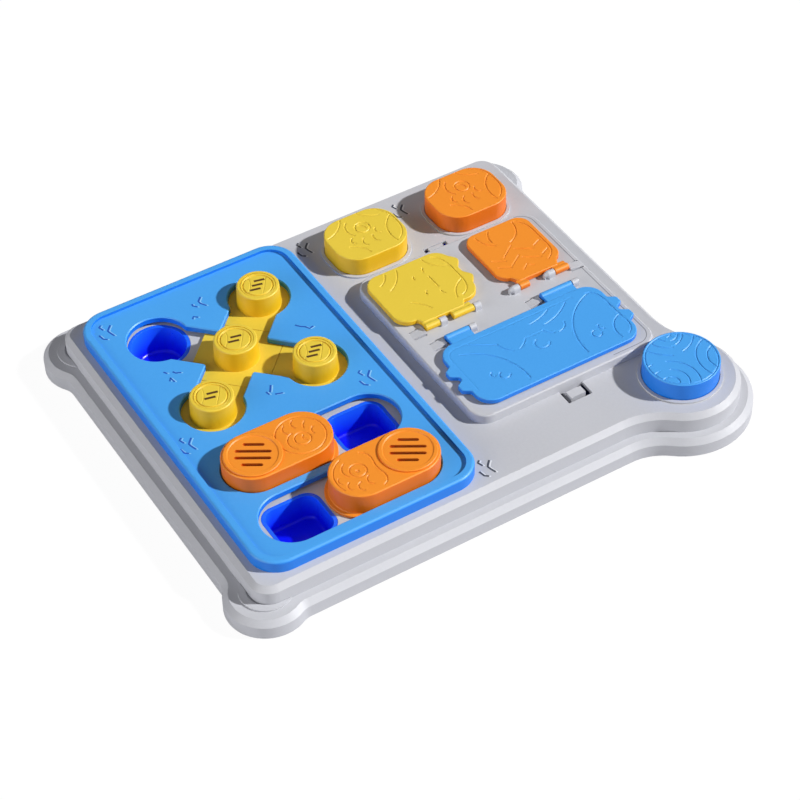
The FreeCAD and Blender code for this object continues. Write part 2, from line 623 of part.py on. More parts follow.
def vent_cap(x, y):
    top = DECK_HEIGHT + SLIDER_HEIGHT
    cap = disc(x, y, VENT_RADIUS, top, top + VENT_HEIGHT)
    cap = cap.makeFillet(VENT_ROUNDING, top_edges(cap, top + VENT_HEIGHT))
    dish_floor = top + VENT_HEIGHT - VENT_DISH_DEPTH
    cap = cap.cut(Part.makeCone(VENT_DISH_RADIUS, VENT_DISH_RADIUS + VENT_DISH_DEPTH, VENT_DISH_DEPTH,
                                vec(x, y, dish_floor)))
    cap = cap.fuse(disc(x, y, VENT_PLUG_RADIUS, top - VENT_PLUG_DEPTH, top))
    slots = []
    for step, length in ((-1.5, VENT_SLOT_SHORT), (-0.5, VENT_SLOT_LONG), (0.5, VENT_SLOT_LONG),
                         (1.5, VENT_SLOT_SHORT)):
        offset = step * VENT_SLOT_PITCH
        slots.append(lane_block(x - length / 2.0, x + length / 2.0, y + offset, VENT_SLOT_WIDTH / 2.0,
                                top - VENT_PLUG_DEPTH, top + VENT_HEIGHT))
    for slot in slots:
        slot.rotate(vec(x, y), vec(0, 0, 1), VENT_TURN)
    return cap.cut(slots)


# Grey flip lid tray: flanged block with three treat wells, hinge knuckles and hooks
def lid_box(plan):
    x, y = from_frame(plan[0], plan[1])
    return x, y, plan[2], plan[3]


def well(plan, corner, bottom, top, inset):
    x, y, length, depth = lid_box(plan)
    return sunk_block(x, y, length, depth, corner, bottom, top, inset)


def knuckle(x0, hinge_y, cone_side):
    """An eye on a short post, with a cone on one side where cone_side isn't zero."""
    x1 = x0 + KNUCKLE_LENGTH
    eye = Part.makeCylinder(KNUCKLE_RADIUS, KNUCKLE_LENGTH, vec(x0, hinge_y, HINGE_HEIGHT), vec(1, 0, 0))
    post = box(x0, hinge_y - KNUCKLE_RADIUS, x1, hinge_y + KNUCKLE_RADIUS, TRAY_TOP, HINGE_HEIGHT)
    piece = eye.fuse(post)
    if cone_side > 0:
        start = x1
    else:
        start = x0
    if cone_side != 0:
        cone = Part.makeCone(KNUCKLE_RADIUS, KNUCKLE_RADIUS / 2.0, CONE_LENGTH,
                             vec(start, hinge_y, HINGE_HEIGHT), vec(cone_side, 0, 0))
        foot = box(min(start, start + cone_side * CONE_LENGTH), hinge_y - KNUCKLE_RADIUS / 2.0,
                   max(start, start + cone_side * CONE_LENGTH), hinge_y + KNUCKLE_RADIUS / 2.0,
                   TRAY_TOP, HINGE_HEIGHT)
        piece = piece.fuse([cone, foot])
    return piece


def tongue(x0, hinge_y, side):
    """A sloped spring tongue that stops a barrel from sliding out; it rises towards side."""
    low = TRAY_TOP - TRAY_WALL
    tall = x0 + TONGUE_LENGTH if side > 0 else x0
    flat = x0 if side > 0 else x0 + TONGUE_LENGTH
    points = [vec(flat, hinge_y - TONGUE_WIDTH / 2.0, low), vec(flat, hinge_y - TONGUE_WIDTH / 2.0, TRAY_TOP),
              vec(tall, hinge_y - TONGUE_WIDTH / 2.0, TRAY_TOP + TONGUE_RISE),
              vec(tall, hinge_y - TONGUE_WIDTH / 2.0, low)]
    face = Part.Face(Part.makePolygon(points + [points[0]]))
    return face.extrude(vec(0, TONGUE_WIDTH, 0))


def tongue_slits(x0, hinge_y):
    slits = []
    for side in (-1.0, 1.0):
        y = hinge_y + side * (TONGUE_WIDTH + TONGUE_SLIT) / 2.0
        slits.append(box(x0, y - TONGUE_SLIT / 2.0, x0 + TONGUE_LENGTH, y + TONGUE_SLIT / 2.0,
                         TRAY_TOP - 2.0 * TRAY_WALL, LID_TOP))
    return slits


def hinges():
    """For each barrel: its lid, hinge line, start, end, and the side of its knuckle."""
    left = LEFT_LID_BOX[0]
    left_end = left + LEFT_LID_LENGTH
    right = RIGHT_LID_BOX[0]
    right_end = right + RIGHT_LID_LENGTH
    wide = WIDE_LID_BOX[0]
    wide_end = wide + WIDE_LID_LENGTH
    starts = (left + LEFT_BARREL_INSET, left_end - LEFT_BARREL_END - LEFT_BARREL_LONG,
              right + RIGHT_BARREL_INSET, right_end - RIGHT_BARREL_END - RIGHT_BARREL_LONG,
              wide + WIDE_BARREL_INSET, wide_end - WIDE_BARREL_END - WIDE_BARREL_LONG)
    return (("left", UPPER_HINGE_Y, starts[0], starts[0] + LEFT_BARREL_SHORT, 1),
            ("left", UPPER_HINGE_Y, starts[1], starts[1] + LEFT_BARREL_LONG, 1),
            ("right", UPPER_HINGE_Y, starts[2], starts[2] + RIGHT_BARREL_SHORT, -1),
            ("right", UPPER_HINGE_Y, starts[3], starts[3] + RIGHT_BARREL_LONG, -1),
            ("wide", WIDE_HINGE_Y, starts[4], starts[4] + WIDE_BARREL_SHORT, 1),
            ("wide", WIDE_HINGE_Y, starts[5], starts[5] + WIDE_BARREL_LONG, 1))


def tongues():
    """Each spring tongue's start, its hinge line and the way that it rises, one by each outer barrel."""
    lines = hinges()
    before = TONGUE_GAP + TONGUE_LENGTH
    return ((lines[0][2] - before, UPPER_HINGE_Y, 1), (lines[3][3] + TONGUE_GAP, UPPER_HINGE_Y, -1),
            (lines[4][2] - before, WIDE_HINGE_Y, 1), (lines[5][2] - before, WIDE_HINGE_Y, 1))


def lid_tray():
    x, y = from_frame(TRAY_X, TRAY_Y)
    body = rounded_block(x, y, TRAY_LENGTH, TRAY_DEPTH, TRAY_CORNER, DECK_HEIGHT, TRAY_TOP)
    body = body.makeFillet(TRAY_ROUNDING, top_edges(body, TRAY_TOP))
    body = body.cut(sunk_block(x, y, TRAY_LENGTH, TRAY_DEPTH, TRAY_CORNER, 0.0, TRAY_TOP - TRAY_WALL,
                               TRAY_WALL))
    plans = ((LEFT_LID_BOX, LEFT_LID_CORNER), (RIGHT_LID_BOX, RIGHT_LID_CORNER),
             (WIDE_LID_BOX, WIDE_LID_CORNER))
    adds = []
    for plan, corner in plans:
        adds.append(well(plan, corner, WELL_BOTTOM_HEIGHT, TRAY_TOP, WELL_INSET - TRAY_WALL))
        adds.append(well(plan, corner, TRAY_TOP, LID_BOTTOM, WELL_INSET - COAMING_WIDTH))
    for lid, hinge_y, start, end, side in hinges():
        knuckle_x = end + KNUCKLE_GAP if side > 0 else start - KNUCKLE_GAP - KNUCKLE_LENGTH
        kx, ky = from_frame(knuckle_x, hinge_y)
        adds.append(knuckle(kx, ky, -1 if lid == "right" else 0))
    adds.extend(tray_hooks(x, y))
    body = body.fuse(adds)
    cuts = [well(plan, corner, WELL_BOTTOM_HEIGHT + TRAY_WALL, LID_TOP, WELL_INSET) for plan, corner in plans]
    for lid, hinge_y, start, end, side in hinges():
        hole_x = end + KNUCKLE_GAP if side > 0 else start - KNUCKLE_GAP
        hx, hy = from_frame(hole_x, hinge_y)
        cuts.append(Part.makeCylinder(TRUNNION_RADIUS + TRUNNION_CLEARANCE, TRUNNION_LENGTH + KNUCKLE_GAP,
                                      vec(hx, hy, HINGE_HEIGHT), vec(side, 0, 0)))
    for start, hinge_y, side in tongues():
        tx, ty = from_frame(start, hinge_y)
        cuts.extend(tongue_slits(tx, ty))
    body = body.cut(cuts)
    ramps = []
    for start, hinge_y, side in tongues():
        tx, ty = from_frame(start, hinge_y)
        ramps.append(tongue(tx, ty, side))
    return body.fuse(ramps)


def tray_hooks(x, y):
    """Two hooks that run under the deck and show in its release slots."""
    middle = from_frame(HOOK_X, 0.0)[0]
    gap = (HOOK_SLOT_DEPTH - HOOK_DEPTH) / 2.0
    low = SHELL_TOP - SHELL_WALL - HOOK_TONGUE
    high = SHELL_TOP - SLIDE_GAP
    x0 = middle - HOOK_LENGTH / 2.0
    x1 = middle + HOOK_LENGTH / 2.0
    front_y = y - HOOK_SLOT_DEPTH + gap
    inner = TRAY_FLANGE + SEAT_GAP
    back_y = y + TRAY_DEPTH + 2.0 * gap + (BACK_HOOK_SLOT_DEPTH - BACK_HOOK_DEPTH) / 2.0
    front_arm = box(x0, front_y, x1, y + inner + TRAY_WALL, low, high)
    front_post = box(x0, y + inner, x1, y + inner + TRAY_WALL, low, TRAY_TOP - TRAY_WALL)
    front_head = box(x0, front_y, x1, front_y + HOOK_DEPTH, low, DECK_HEIGHT + SEAT_RING_HEIGHT / 2.0)
    end = y + TRAY_DEPTH - inner
    back_arm = box(x0, end - TRAY_WALL, x1, back_y + BACK_HOOK_DEPTH, low, high)
    back_post = box(x0, end - TRAY_WALL, x1, end, low, TRAY_TOP - TRAY_WALL)
    back_head = box(x0, back_y, x1, back_y + BACK_HOOK_DEPTH, low, DECK_HEIGHT)
    return [front_arm, front_post, front_head, back_arm, back_post, back_head]


# Flip lids: plates with paw tabs, and barrels that snap into the knuckles
def barrels(lid, edge_y):
    """The barrels, arms and trunnions of one lid; edge_y is the plate's edge at the hinge."""
    pieces = []
    for name, hinge_y, start, end, side in hinges():
        if name != lid:
            continue
        x0, y = from_frame(start, hinge_y)
        x1 = from_frame(end, hinge_y)[0]
        pieces.append(Part.makeCylinder(BARREL_RADIUS, x1 - x0, vec(x0, y, HINGE_HEIGHT), vec(1, 0, 0)))
        reach = edge_y + math.copysign(LID_ROUNDING * 2.0, edge_y - y)
        pieces.append(box(x0, min(y, reach), x1, max(y, reach), HINGE_HEIGHT - ARM_THICKNESS / 2.0,
                          HINGE_HEIGHT + ARM_THICKNESS / 2.0))
        root = x1 if side > 0 else x0
        pieces.append(Part.makeCylinder(TRUNNION_RADIUS, TRUNNION_LENGTH, vec(root, y, HINGE_HEIGHT),
                                        vec(side, 0, 0)))
    return pieces


def neck(lid, edge_y):
    """The part of a plate that reaches from its edge towards the hinge line, over its barrels' arms."""
    lines = [line for line in hinges() if line[0] == lid]
    x0, hinge_y = from_frame(lines[0][2], lines[0][1])
    x1 = from_frame(lines[1][3], 0.0)[0] - NECK_END_INSET
    return box(x0, hinge_y + NECK_GAP, x1, edge_y + LID_ROUNDING, LID_BOTTOM, LID_TOP)


def corner_cut(x, y, cut):
    """A prism that takes a slanting cut off the plate's front right corner."""
    points = [vec(x - cut, y, LID_BOTTOM), vec(x + cut, y - cut, LID_BOTTOM),
              vec(x + cut, y + cut, LID_BOTTOM), vec(x, y + cut, LID_BOTTOM)]
    return Part.Face(Part.makePolygon(points + [points[0]])).extrude(vec(0, 0, LID_THICKNESS))


def lid_plate(plate, plan, tabs):
    """A plate with round tabs, each given as a share of its box, all blended in and rounded on top."""
    x, y, length, depth = lid_box(plan)
    for share_x, share_y in tabs:
        tab_x, tab_y = x + share_x * length, y + share_y * depth
        plate = plate.fuse(disc(tab_x, tab_y, PAW_TAB_RADIUS, LID_BOTTOM, LID_TOP))
    plate = plate.removeSplitter()
    corners = sharp_uprights(plate)
    if corners:
        plate = plate.makeFillet(PAW_TAB_BLEND, corners)
    return plate.makeFillet(LID_ROUNDING, top_edges(plate, LID_TOP))


def plain_plate(plan, corner):
    x, y, length, depth = lid_box(plan)
    return rounded_block(x, y, length, depth, corner, LID_BOTTOM, LID_TOP)


def flip_lid_left():
    x, y, length, depth = lid_box(LEFT_LID_BOX)
    plate = plain_plate(LEFT_LID_BOX, LEFT_LID_CORNER).cut(corner_cut(x + length, y, LEFT_LID_CUT))
    plate = plate.fuse(neck("left", y))
    return lid_plate(plate, LEFT_LID_BOX, ((1.0, 0.332), (1.0, 0.711))).fuse(barrels("left", y))


def flip_lid_right():
    y = lid_box(RIGHT_LID_BOX)[1]
    plate = plain_plate(RIGHT_LID_BOX, RIGHT_LID_CORNER).fuse(neck("right", y))
    return lid_plate(plate, RIGHT_LID_BOX, ()).fuse(barrels("right", y))


def flip_lid_wide():
    y, depth = lid_box(WIDE_LID_BOX)[1], WIDE_LID_DEPTH
    tabs = ((-0.01, 0.365), (-0.01, 0.613), (1.01, 0.365), (1.01, 0.613))
    plate = plain_plate(WIDE_LID_BOX, WIDE_LID_CORNER)
    return lid_plate(plate, WIDE_LID_BOX, tabs).fuse(barrels("wide", y + depth))


# Lift-off caps over their cups
def lift_cap(x, y):
    top = DECK_HEIGHT + CAP_HEIGHT
    cap = cap_block(x, y, 0.0, DECK_HEIGHT, top)
    cap = cap.makeFillet(CAP_ROUNDING, top_edges(cap, top))
    return cap.cut(cap_block(x, y, -CAP_WALL, 0.0, top - CAP_WALL))


def round_lid():
    x, y = TIER_LENGTH - BIG_LOBE_INSET_X, BIG_LOBE_INSET_Y
    top = DECK_HEIGHT + ROUND_LID_HEIGHT
    lid = disc(x, y, ROUND_LID_RADIUS, DECK_HEIGHT, top)
    lid = lid.makeFillet(CAP_ROUNDING, top_edges(lid, top))
    return lid.cut(disc(x, y, ROUND_LID_RADIUS - CAP_WALL, 0.0, top - CAP_WALL))


# Fixings: pan head screws from below, and round rubber feet
def base_screws():
    screws = []
    start = FOOT_HEIGHT
    for x, y in screw_places():
        head = disc(x, y, SCREW_HEAD_RADIUS, start, start + SCREW_HEAD_HEIGHT)
        shank = disc(x, y, SCREW_RADIUS, start, start + SCREW_HEAD_HEIGHT + SCREW_LENGTH)
        reach, half = DRIVE_LENGTH / 2.0, DRIVE_WIDTH / 2.0
        drive = [box(x - reach, y - half, x + reach, y + half, start, start + DRIVE_DEPTH),
                 box(x - half, y - reach, x + half, y + reach, start, start + DRIVE_DEPTH)]
        screws.append(head.fuse(shank).cut(drive))
    return Part.makeCompound(screws)


def rubber_foot(x, y):
    foot = disc(x, y, FOOT_RADIUS, 0.0, FOOT_HEIGHT)
    return foot.makeChamfer(FOOT_HEIGHT / 4.0, top_edges(foot, 0.0))


save("bottom_plate", bottom_plate())
save("base_shell", base_shell())
save("deck_shell", deck_shell())
save("cup_carrier", cup_carrier())
save("puzzle_frame", puzzle_frame())
for place, (cup_x, cup_y) in peg_places().items():
    save("round_cup_" + place, round_cup(cup_x, cup_y, CUP_RADIUS))
for place, (cup_x, cup_y) in square_places().items():
    save("lane_cup_" + place, hung_cup(
        lambda grow, bottom, top, cx=cup_x, cy=cup_y: square_block(cx, cy, grow, bottom, top)))
for place in ("centre", "back_right", "front_right", "front_left"):
    peg_x, peg_y = peg_places()[place]
    save("peg_tile_" + place, peg_tile(peg_x, peg_y))
    save("peg_cap_" + place, peg_cap(peg_x, peg_y))
END_RADIUS = LANE_RADIUS - LANE_GAP
BACK_START, BACK_Y = from_frame(LANE_CENTRE_X - LANE_HALF_LENGTH + LANE_GAP, LANE_BACK_Y)
FRONT_START, FRONT_Y = from_frame(LANE_CENTRE_X + LANE_HALF_LENGTH - LANE_GAP - SLIDER_LENGTH, LANE_FRONT_Y)
BACK_VENT = BACK_START + END_RADIUS
FRONT_VENT = FRONT_START + SLIDER_LENGTH - END_RADIUS
save("slider_back", slider_body(BACK_START, BACK_Y, BACK_VENT))
save("slider_front", slider_body(FRONT_START, FRONT_Y, FRONT_VENT))
save("vent_cap_back", vent_cap(BACK_VENT, BACK_Y))
save("vent_cap_front", vent_cap(FRONT_VENT, FRONT_Y))
save("lid_tray", lid_tray())
save("flip_lid_left", flip_lid_left())
save("flip_lid_right", flip_lid_right())
save("flip_lid_wide", flip_lid_wide())
for place, (cap_x, cap_y) in cap_places().items():
    save("cap_cup_" + place, hung_cup(
        lambda grow, bottom, top, cx=cap_x, cy=cap_y: cap_block(cx, cy, grow - CAP_CUP_INSET, bottom, top)))
    save("lift_cap_" + place, lift_cap(cap_x, cap_y))
save("round_cup_lobe", round_cup(TIER_LENGTH - BIG_LOBE_INSET_X, BIG_LOBE_INSET_Y,
                                 ROUND_LID_RADIUS - CAP_CUP_INSET))
save("round_lid", round_lid())
save("base_screws", base_screws())
for foot_name, foot_x, foot_y in foot_places():
    save(foot_name, rubber_foot(foot_x, foot_y))
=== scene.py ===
import math

import bmesh
import bpy
import numpy as np
from mathutils import Matrix


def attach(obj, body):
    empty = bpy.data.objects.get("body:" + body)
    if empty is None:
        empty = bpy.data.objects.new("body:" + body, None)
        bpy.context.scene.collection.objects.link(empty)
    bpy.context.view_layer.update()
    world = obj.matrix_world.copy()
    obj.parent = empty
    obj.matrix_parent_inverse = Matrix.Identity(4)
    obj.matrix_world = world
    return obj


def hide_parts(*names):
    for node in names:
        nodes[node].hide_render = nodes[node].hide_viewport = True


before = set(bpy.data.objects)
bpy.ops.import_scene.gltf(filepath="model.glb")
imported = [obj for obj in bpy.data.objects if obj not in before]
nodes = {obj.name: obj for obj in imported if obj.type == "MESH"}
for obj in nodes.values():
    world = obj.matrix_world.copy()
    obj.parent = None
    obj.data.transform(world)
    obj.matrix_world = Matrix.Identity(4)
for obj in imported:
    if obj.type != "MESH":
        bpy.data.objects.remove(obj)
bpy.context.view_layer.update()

# Lower tier: a wide tray shell with four corner lobes, closed from below by a flat plate.
# Injection moulded ABS in light grey; the mould was spark eroded, which leaves a fine matt grain.
# The plate is held by nine zinc plated screws, and four rubber discs are glued under the lobes.


def linear(hex_colour):
    """Turn an sRGB hex colour into a linear RGBA tuple, by the sRGB transfer curve."""
    parts = [int(hex_colour[i:i + 2], 16) / 255.0 for i in (1, 3, 5)]
    return tuple(p / 12.92 if p <= 0.04045 else ((p + 0.055) / 1.055) ** 2.4 for p in parts) + (1.0,)


def add_node(tree, kind, sockets=(), **settings):
    """Add one node. settings are its own attributes; sockets pairs an input with a value or a link."""
    node = tree.nodes.new(kind)
    for name, value in settings.items():
        setattr(node, name, value)
    for key, value in sockets:
        if isinstance(value, bpy.types.NodeSocket):
            tree.links.new(value, node.inputs[key])
        else:
            node.inputs[key].default_value = value
    return node


def moulded_plastic(name, colour, shade, edge, wall, grain_mm, roughness, bevel_mm):
    """A moulded plastic: one pigment, clouded a little by flow, paler on its edges, with a fine grain.

    The edge mask is one minus the dot product of the true normal and the rounded one; the paleness it gives
    is partly wear and partly a painted highlight. The walls are where the surface's own normal lies flat:
    there the colour is painted deeper, a painted shade.
    """
    material = bpy.data.materials.new(name)
    material.use_nodes = True
    tree = material.node_tree
    shader = tree.nodes["Principled BSDF"]
    texture_place = add_node(tree, "ShaderNodeTexCoord")
    place = texture_place.outputs["Object"]
    flow_mm, speck_mm = 45.0, 2.2
    flow = add_node(tree, "ShaderNodeTexNoise",
                    (("Vector", place), ("Scale", 1000.0 / flow_mm), ("Detail", 3.0)))
    speck = add_node(tree, "ShaderNodeTexNoise",
                     (("Vector", place), ("Scale", 1000.0 / speck_mm), ("Detail", 2.0)))
    cloud = add_node(tree, "ShaderNodeMath", ((0, flow.outputs["Fac"]), (1, speck.outputs["Fac"])),
                     operation="MULTIPLY")
    tone = add_node(tree, "ShaderNodeMix",
                    (("Factor", cloud.outputs[0]), (6, linear(colour)), (7, linear(shade))), data_type="RGBA")
    # The wall colour is a painted shade: the upright faces are painted deeper than the top
    flat_above, upright_below = 0.75, 0.25
    facing = add_node(tree, "ShaderNodeSeparateXYZ", ((0, texture_place.outputs["Normal"]),))
    level = add_node(tree, "ShaderNodeMath", ((0, facing.outputs["Z"]),), operation="ABSOLUTE")
    painted_wall_shade_mask = add_node(tree, "ShaderNodeMapRange",
                       (("Value", level.outputs[0]), ("From Min", flat_above), ("From Max", upright_below)))
    body = add_node(tree, "ShaderNodeMix",
                    (("Factor", painted_wall_shade_mask.outputs["Result"]), (6, tone.outputs[2]), (7, linear(wall))),
                    data_type="RGBA")
    rounded = add_node(tree, "ShaderNodeBevel", (("Radius", bevel_mm / 1000.0),), samples=6)
    true_normal = add_node(tree, "ShaderNodeNewGeometry").outputs["Normal"]
    agree = add_node(tree, "ShaderNodeVectorMath", ((0, rounded.outputs[0]), (1, true_normal)),
                     operation="DOT_PRODUCT")
    # The pale edge colour is partly wear and partly a painted highlight
    edge_starts, edge_full, edge_share = 0.99, 0.72, 0.45
    worn_and_lit_edge = add_node(tree, "ShaderNodeMapRange",
                    (("Value", agree.outputs["Value"]), ("From Min", edge_starts), ("From Max", edge_full),
                     ("To Max", edge_share)))
    paint = add_node(tree, "ShaderNodeMix",
                     (("Factor", worn_and_lit_edge.outputs["Result"]), (6, body.outputs[2]), (7, linear(edge))),
                     data_type="RGBA")
    tree.links.new(paint.outputs[2], shader.inputs["Base Color"])
    gloss_spread = 0.06
    gloss = add_node(tree, "ShaderNodeMapRange",
                     (("Value", speck.outputs["Fac"]), ("To Min", roughness - gloss_spread),
                      ("To Max", roughness + gloss_spread)))
    tree.links.new(gloss.outputs["Result"], shader.inputs["Roughness"])
    grain = add_node(tree, "ShaderNodeTexNoise",
                     (("Vector", place), ("Scale", 1000.0 / grain_mm), ("Detail", 2.0)))
    grain_depth_mm = 0.06
    bump = add_node(tree, "ShaderNodeBump",
                    (("Strength", 0.35), ("Distance", grain_depth_mm / 1000.0),
                     ("Height", grain.outputs["Fac"]), ("Normal", rounded.outputs[0])))
    tree.links.new(bump.outputs["Normal"], shader.inputs["Normal"])
    shader.inputs["IOR"].default_value = 1.53
    return material


def dress(names, material):
    """Give a material to CAD nodes, over whatever they were packed with."""
    for name in names:
        mesh = nodes[name].data
        mesh.materials.clear()
        mesh.materials.append(material)


# It gives the eye a soft, nearly matt grey with a pale line along each edge, partly wear and partly a painted
# highlight, and walls a shade deeper, a painted shade. The grain is about 0.1 mm on such a shell and is drawn
# at 0.7 mm, so that it shows at all.
spark_grain_mm = 0.7
grey_abs = moulded_plastic("light grey ABS, spark eroded", "#C6C7CC", "#BBBCC2", "#E2E4E8", "#C2C3C9",
                           spark_grain_mm, 0.48, 0.35)
dress(("base_shell", "bottom_plate"), grey_abs)

# Rubber gives the eye no gloss highlight at all, only a dull dark face; its walls are painted a little
# deeper, a painted shade, and its edges paler, partly wear and partly a painted highlight
rubber = moulded_plastic("dark grey silicone rubber, moulded", "#3A3C40", "#303236", "#55585C", "#35373B",
                         0.9, 0.75, 0.2)
dress([name for name in nodes if name.startswith("foot_")], rubber)

# Zinc plating gives the eye small bright and dull patches, about as large as its crystals
zinc_steel = bpy.data.materials.new("zinc plated steel, rolled")
zinc_steel.use_nodes = True
zinc_tree = zinc_steel.node_tree
zinc_place = add_node(zinc_tree, "ShaderNodeTexCoord").outputs["Object"]
zinc_spangle_mm = 0.6
spangle = add_node(zinc_tree, "ShaderNodeTexNoise",
                   (("Vector", zinc_place), ("Scale", 1000.0 / zinc_spangle_mm)))
zinc_tone = add_node(zinc_tree, "ShaderNodeMix",
                     (("Factor", spangle.outputs["Fac"]), (6, linear("#C9CACC")), (7, linear("#A7A9AC"))),
                     data_type="RGBA")
zinc_shader = zinc_tree.nodes["Principled BSDF"]
zinc_tree.links.new(zinc_tone.outputs[2], zinc_shader.inputs["Base Color"])
zinc_shader.inputs["Metallic"].default_value = 1.0
zinc_shader.inputs["Roughness"].default_value = 0.34
dress(("base_screws",), zinc_steel)

# Upper tier: the deck, moulded in the same grey ABS, with a separate carrier plate let in under the frame.
# It has seat rings for the caps and release slots. Small shard marks are an ornament on its top; each is
# drawn flat, as a dark stroke of painted shadow and a pale stroke of painted highlight beside it, so that
# they read as raised.
dress(("deck_shell", "cup_carrier"), grey_abs)


def join_loops(loops, closed=False):
    """Quads between each loop of points and the next, and from the last to the first where it is closed."""
    rows, count = loops.shape[:2]
    here = np.arange(rows * count).reshape(rows, count)
    beside = np.roll(here, -1, axis=1)
    last = rows if closed else rows - 1
    above = (np.arange(last) + 1) % rows
    quads = np.stack((here[:last], beside[:last], beside[above], here[above]), axis=-1)
    return loops.reshape(-1, 3), quads.reshape(-1, 4)


def make_piece(name, shells, material, body, stands_for=()):
    """One object from closed shells in millimetres, with seams and poles merged and faces turned outwards.

    Edges sharper than the crease angle stay sharp; the rest is shaded smooth.
    """
    merge_distance, crease_angle = 2e-6, math.radians(38.0)
    points, quads, start = [], [], 0
    for shell_points, shell_quads in shells:
        points.append(shell_points)
        quads.append(shell_quads + start)
        start += len(shell_points)
    mesh = bpy.data.meshes.new(name)
    mesh.from_pydata((np.concatenate(points) / 1000.0).tolist(), [], np.concatenate(quads).tolist())
    work = bmesh.new()
    work.from_mesh(mesh)
    bmesh.ops.remove_doubles(work, verts=work.verts, dist=merge_distance)
    bmesh.ops.recalc_face_normals(work, faces=work.faces)
    work.to_mesh(mesh)
    work.free()
    mesh.polygons.foreach_set("use_smooth", [True] * len(mesh.polygons))
    mesh.set_sharp_from_angle(angle=crease_angle)
    mesh.materials.append(material)
    piece = bpy.data.objects.new(name, mesh)
    bpy.context.scene.collection.objects.link(piece)
    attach(piece, body)
    if stands_for:
        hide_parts(*stands_for)


def ribbon(path, width, bottom, top):
    """A flat strip along a path of plan points: each point gets a rectangle across the way it runs."""
    path = np.asarray(path, dtype=float)
    along = np.gradient(path, axis=0)
    along /= np.linalg.norm(along, axis=1)[:, None]
    across = np.stack((-along[:, 1], along[:, 0]), axis=1) * width / 2.0
    loops = np.empty((len(path), 4, 3))
    for place, (side, height) in enumerate(((-1.0, bottom), (1.0, bottom), (1.0, top), (-1.0, top))):
        loops[:, place, :2] = path + side * across
        loops[:, place, 2] = height
    ends = loops[[0, -1]].mean(axis=1, keepdims=True).repeat(4, axis=1)
    return join_loops(np.concatenate((ends[:1], loops, ends[1:])))


shard = (
    ((4.9, 4.7), (2.0, 1.7), (0.6, 0.0), (1.2, -3.0), (2.6, -7.3)),
    ((-1.2, 8.3), (-3.3, 6.8), (-1.8, 2.6)), ((-7.1, -1.0), (-6.1, -6.1), (-3.5, -8.2)))


def shard_strokes(places):
    """The strokes of the shard ornament at each place."""
    return [np.array(stroke) + place for place in places for stroke in shard]


mark_root, mark_lift = 0.3, 0.06
lit_lift, lit_shift = 0.03, (1.1, -0.9)


def marks(strokes, width, top, shift=(0.0, 0.0)):
    """Flat strokes a hair above the surface that carries them, all moved aside by one shift."""
    return [ribbon(np.array(stroke) + shift, width, top - mark_root, top) for stroke in strokes]


def painted_light_material(name, colour, shade, edge):
    """A thin matt paint for painted shadow and painted highlight, as even on its walls as on its face."""
    painted_light_roughness, painted_light_bevel_mm = 0.6, 0.1
    return moulded_plastic(name, colour, shade, edge, shade, spark_grain_mm, painted_light_roughness, painted_light_bevel_mm)


# These flat paints are painted light: the dark one a painted shadow, the pale one a painted highlight beside
# it
painted_shadow_grey = painted_light_material("dark grey paint, painted shadow", "#4A4E5A", "#424650", "#6E7078")
painted_highlight_grey = painted_light_material("pale grey paint, painted highlight", "#EEEFF2", "#E6E7EA", "#F6F6F8")
deck_top, deck_mark_width, deck_lit_width = 31.0, 1.5, 1.1
deck_strokes = shard_strokes(((-6.6, -127.2), (87.8, 142.2), (2.0, 143.0)))
# The dark strokes are a painted shadow
deck_mark_shadows = marks(deck_strokes, deck_mark_width, deck_top + mark_lift)
make_piece("deck_mark_shadows", deck_mark_shadows, painted_shadow_grey, "board")
# The pale strokes, shifted toward the light, are a painted highlight
deck_mark_highlights = marks(deck_strokes, deck_lit_width, deck_top + lit_lift, lit_shift)
make_piece("deck_mark_highlights", deck_mark_highlights, painted_highlight_grey, "board")

# Treat cups: thin bowls in deep blue polypropylene, pressed into the deck, smooth and a little glossy.
# Their blue is painted deeper towards the floor, a painted shade for the light thrown from wall to wall, and
# a faint glow of its own, a painted light, stands in for the light that the thin wall lets through.
cup_painted_glow = 0.14
cup_blue = moulded_plastic("deep blue polypropylene, polished mould", "#1E6CF8", "#1662F0", "#4A86F8",
                           "#1E6CF8", 1.6, 0.3, 0.2)
# Heights in metres, as the Object coordinates give them
cup_rim, cup_floor = 0.031, 0.012
cup_tree = cup_blue.node_tree
cup_shader = cup_tree.nodes["Principled BSDF"]
cup_place = add_node(cup_tree, "ShaderNodeSeparateXYZ",
                     ((0, add_node(cup_tree, "ShaderNodeTexCoord").outputs["Object"]),))
cup_depth = add_node(cup_tree, "ShaderNodeMapRange",
                     (("Value", cup_place.outputs["Z"]), ("From Min", cup_rim), ("From Max", cup_floor)))
cup_upper = cup_shader.inputs["Base Color"].links[0].from_socket
# The deeper blue towards the floor is a painted shade
cup_painted_depth_shade = add_node(cup_tree, "ShaderNodeMix",
                    (("Factor", cup_depth.outputs["Result"]), (6, cup_upper), (7, linear("#0614DC"))),
                    data_type="RGBA")
cup_tree.links.new(cup_painted_depth_shade.outputs[2], cup_shader.inputs["Base Color"])
# The emission is a painted glow
cup_shader.inputs["Emission Color"].default_value = linear("#0308C8")
cup_shader.inputs["Emission Strength"].default_value = cup_painted_glow
dress([name for name in nodes if name.startswith(("round_cup", "lane_cup", "cap_cup"))], cup_blue)
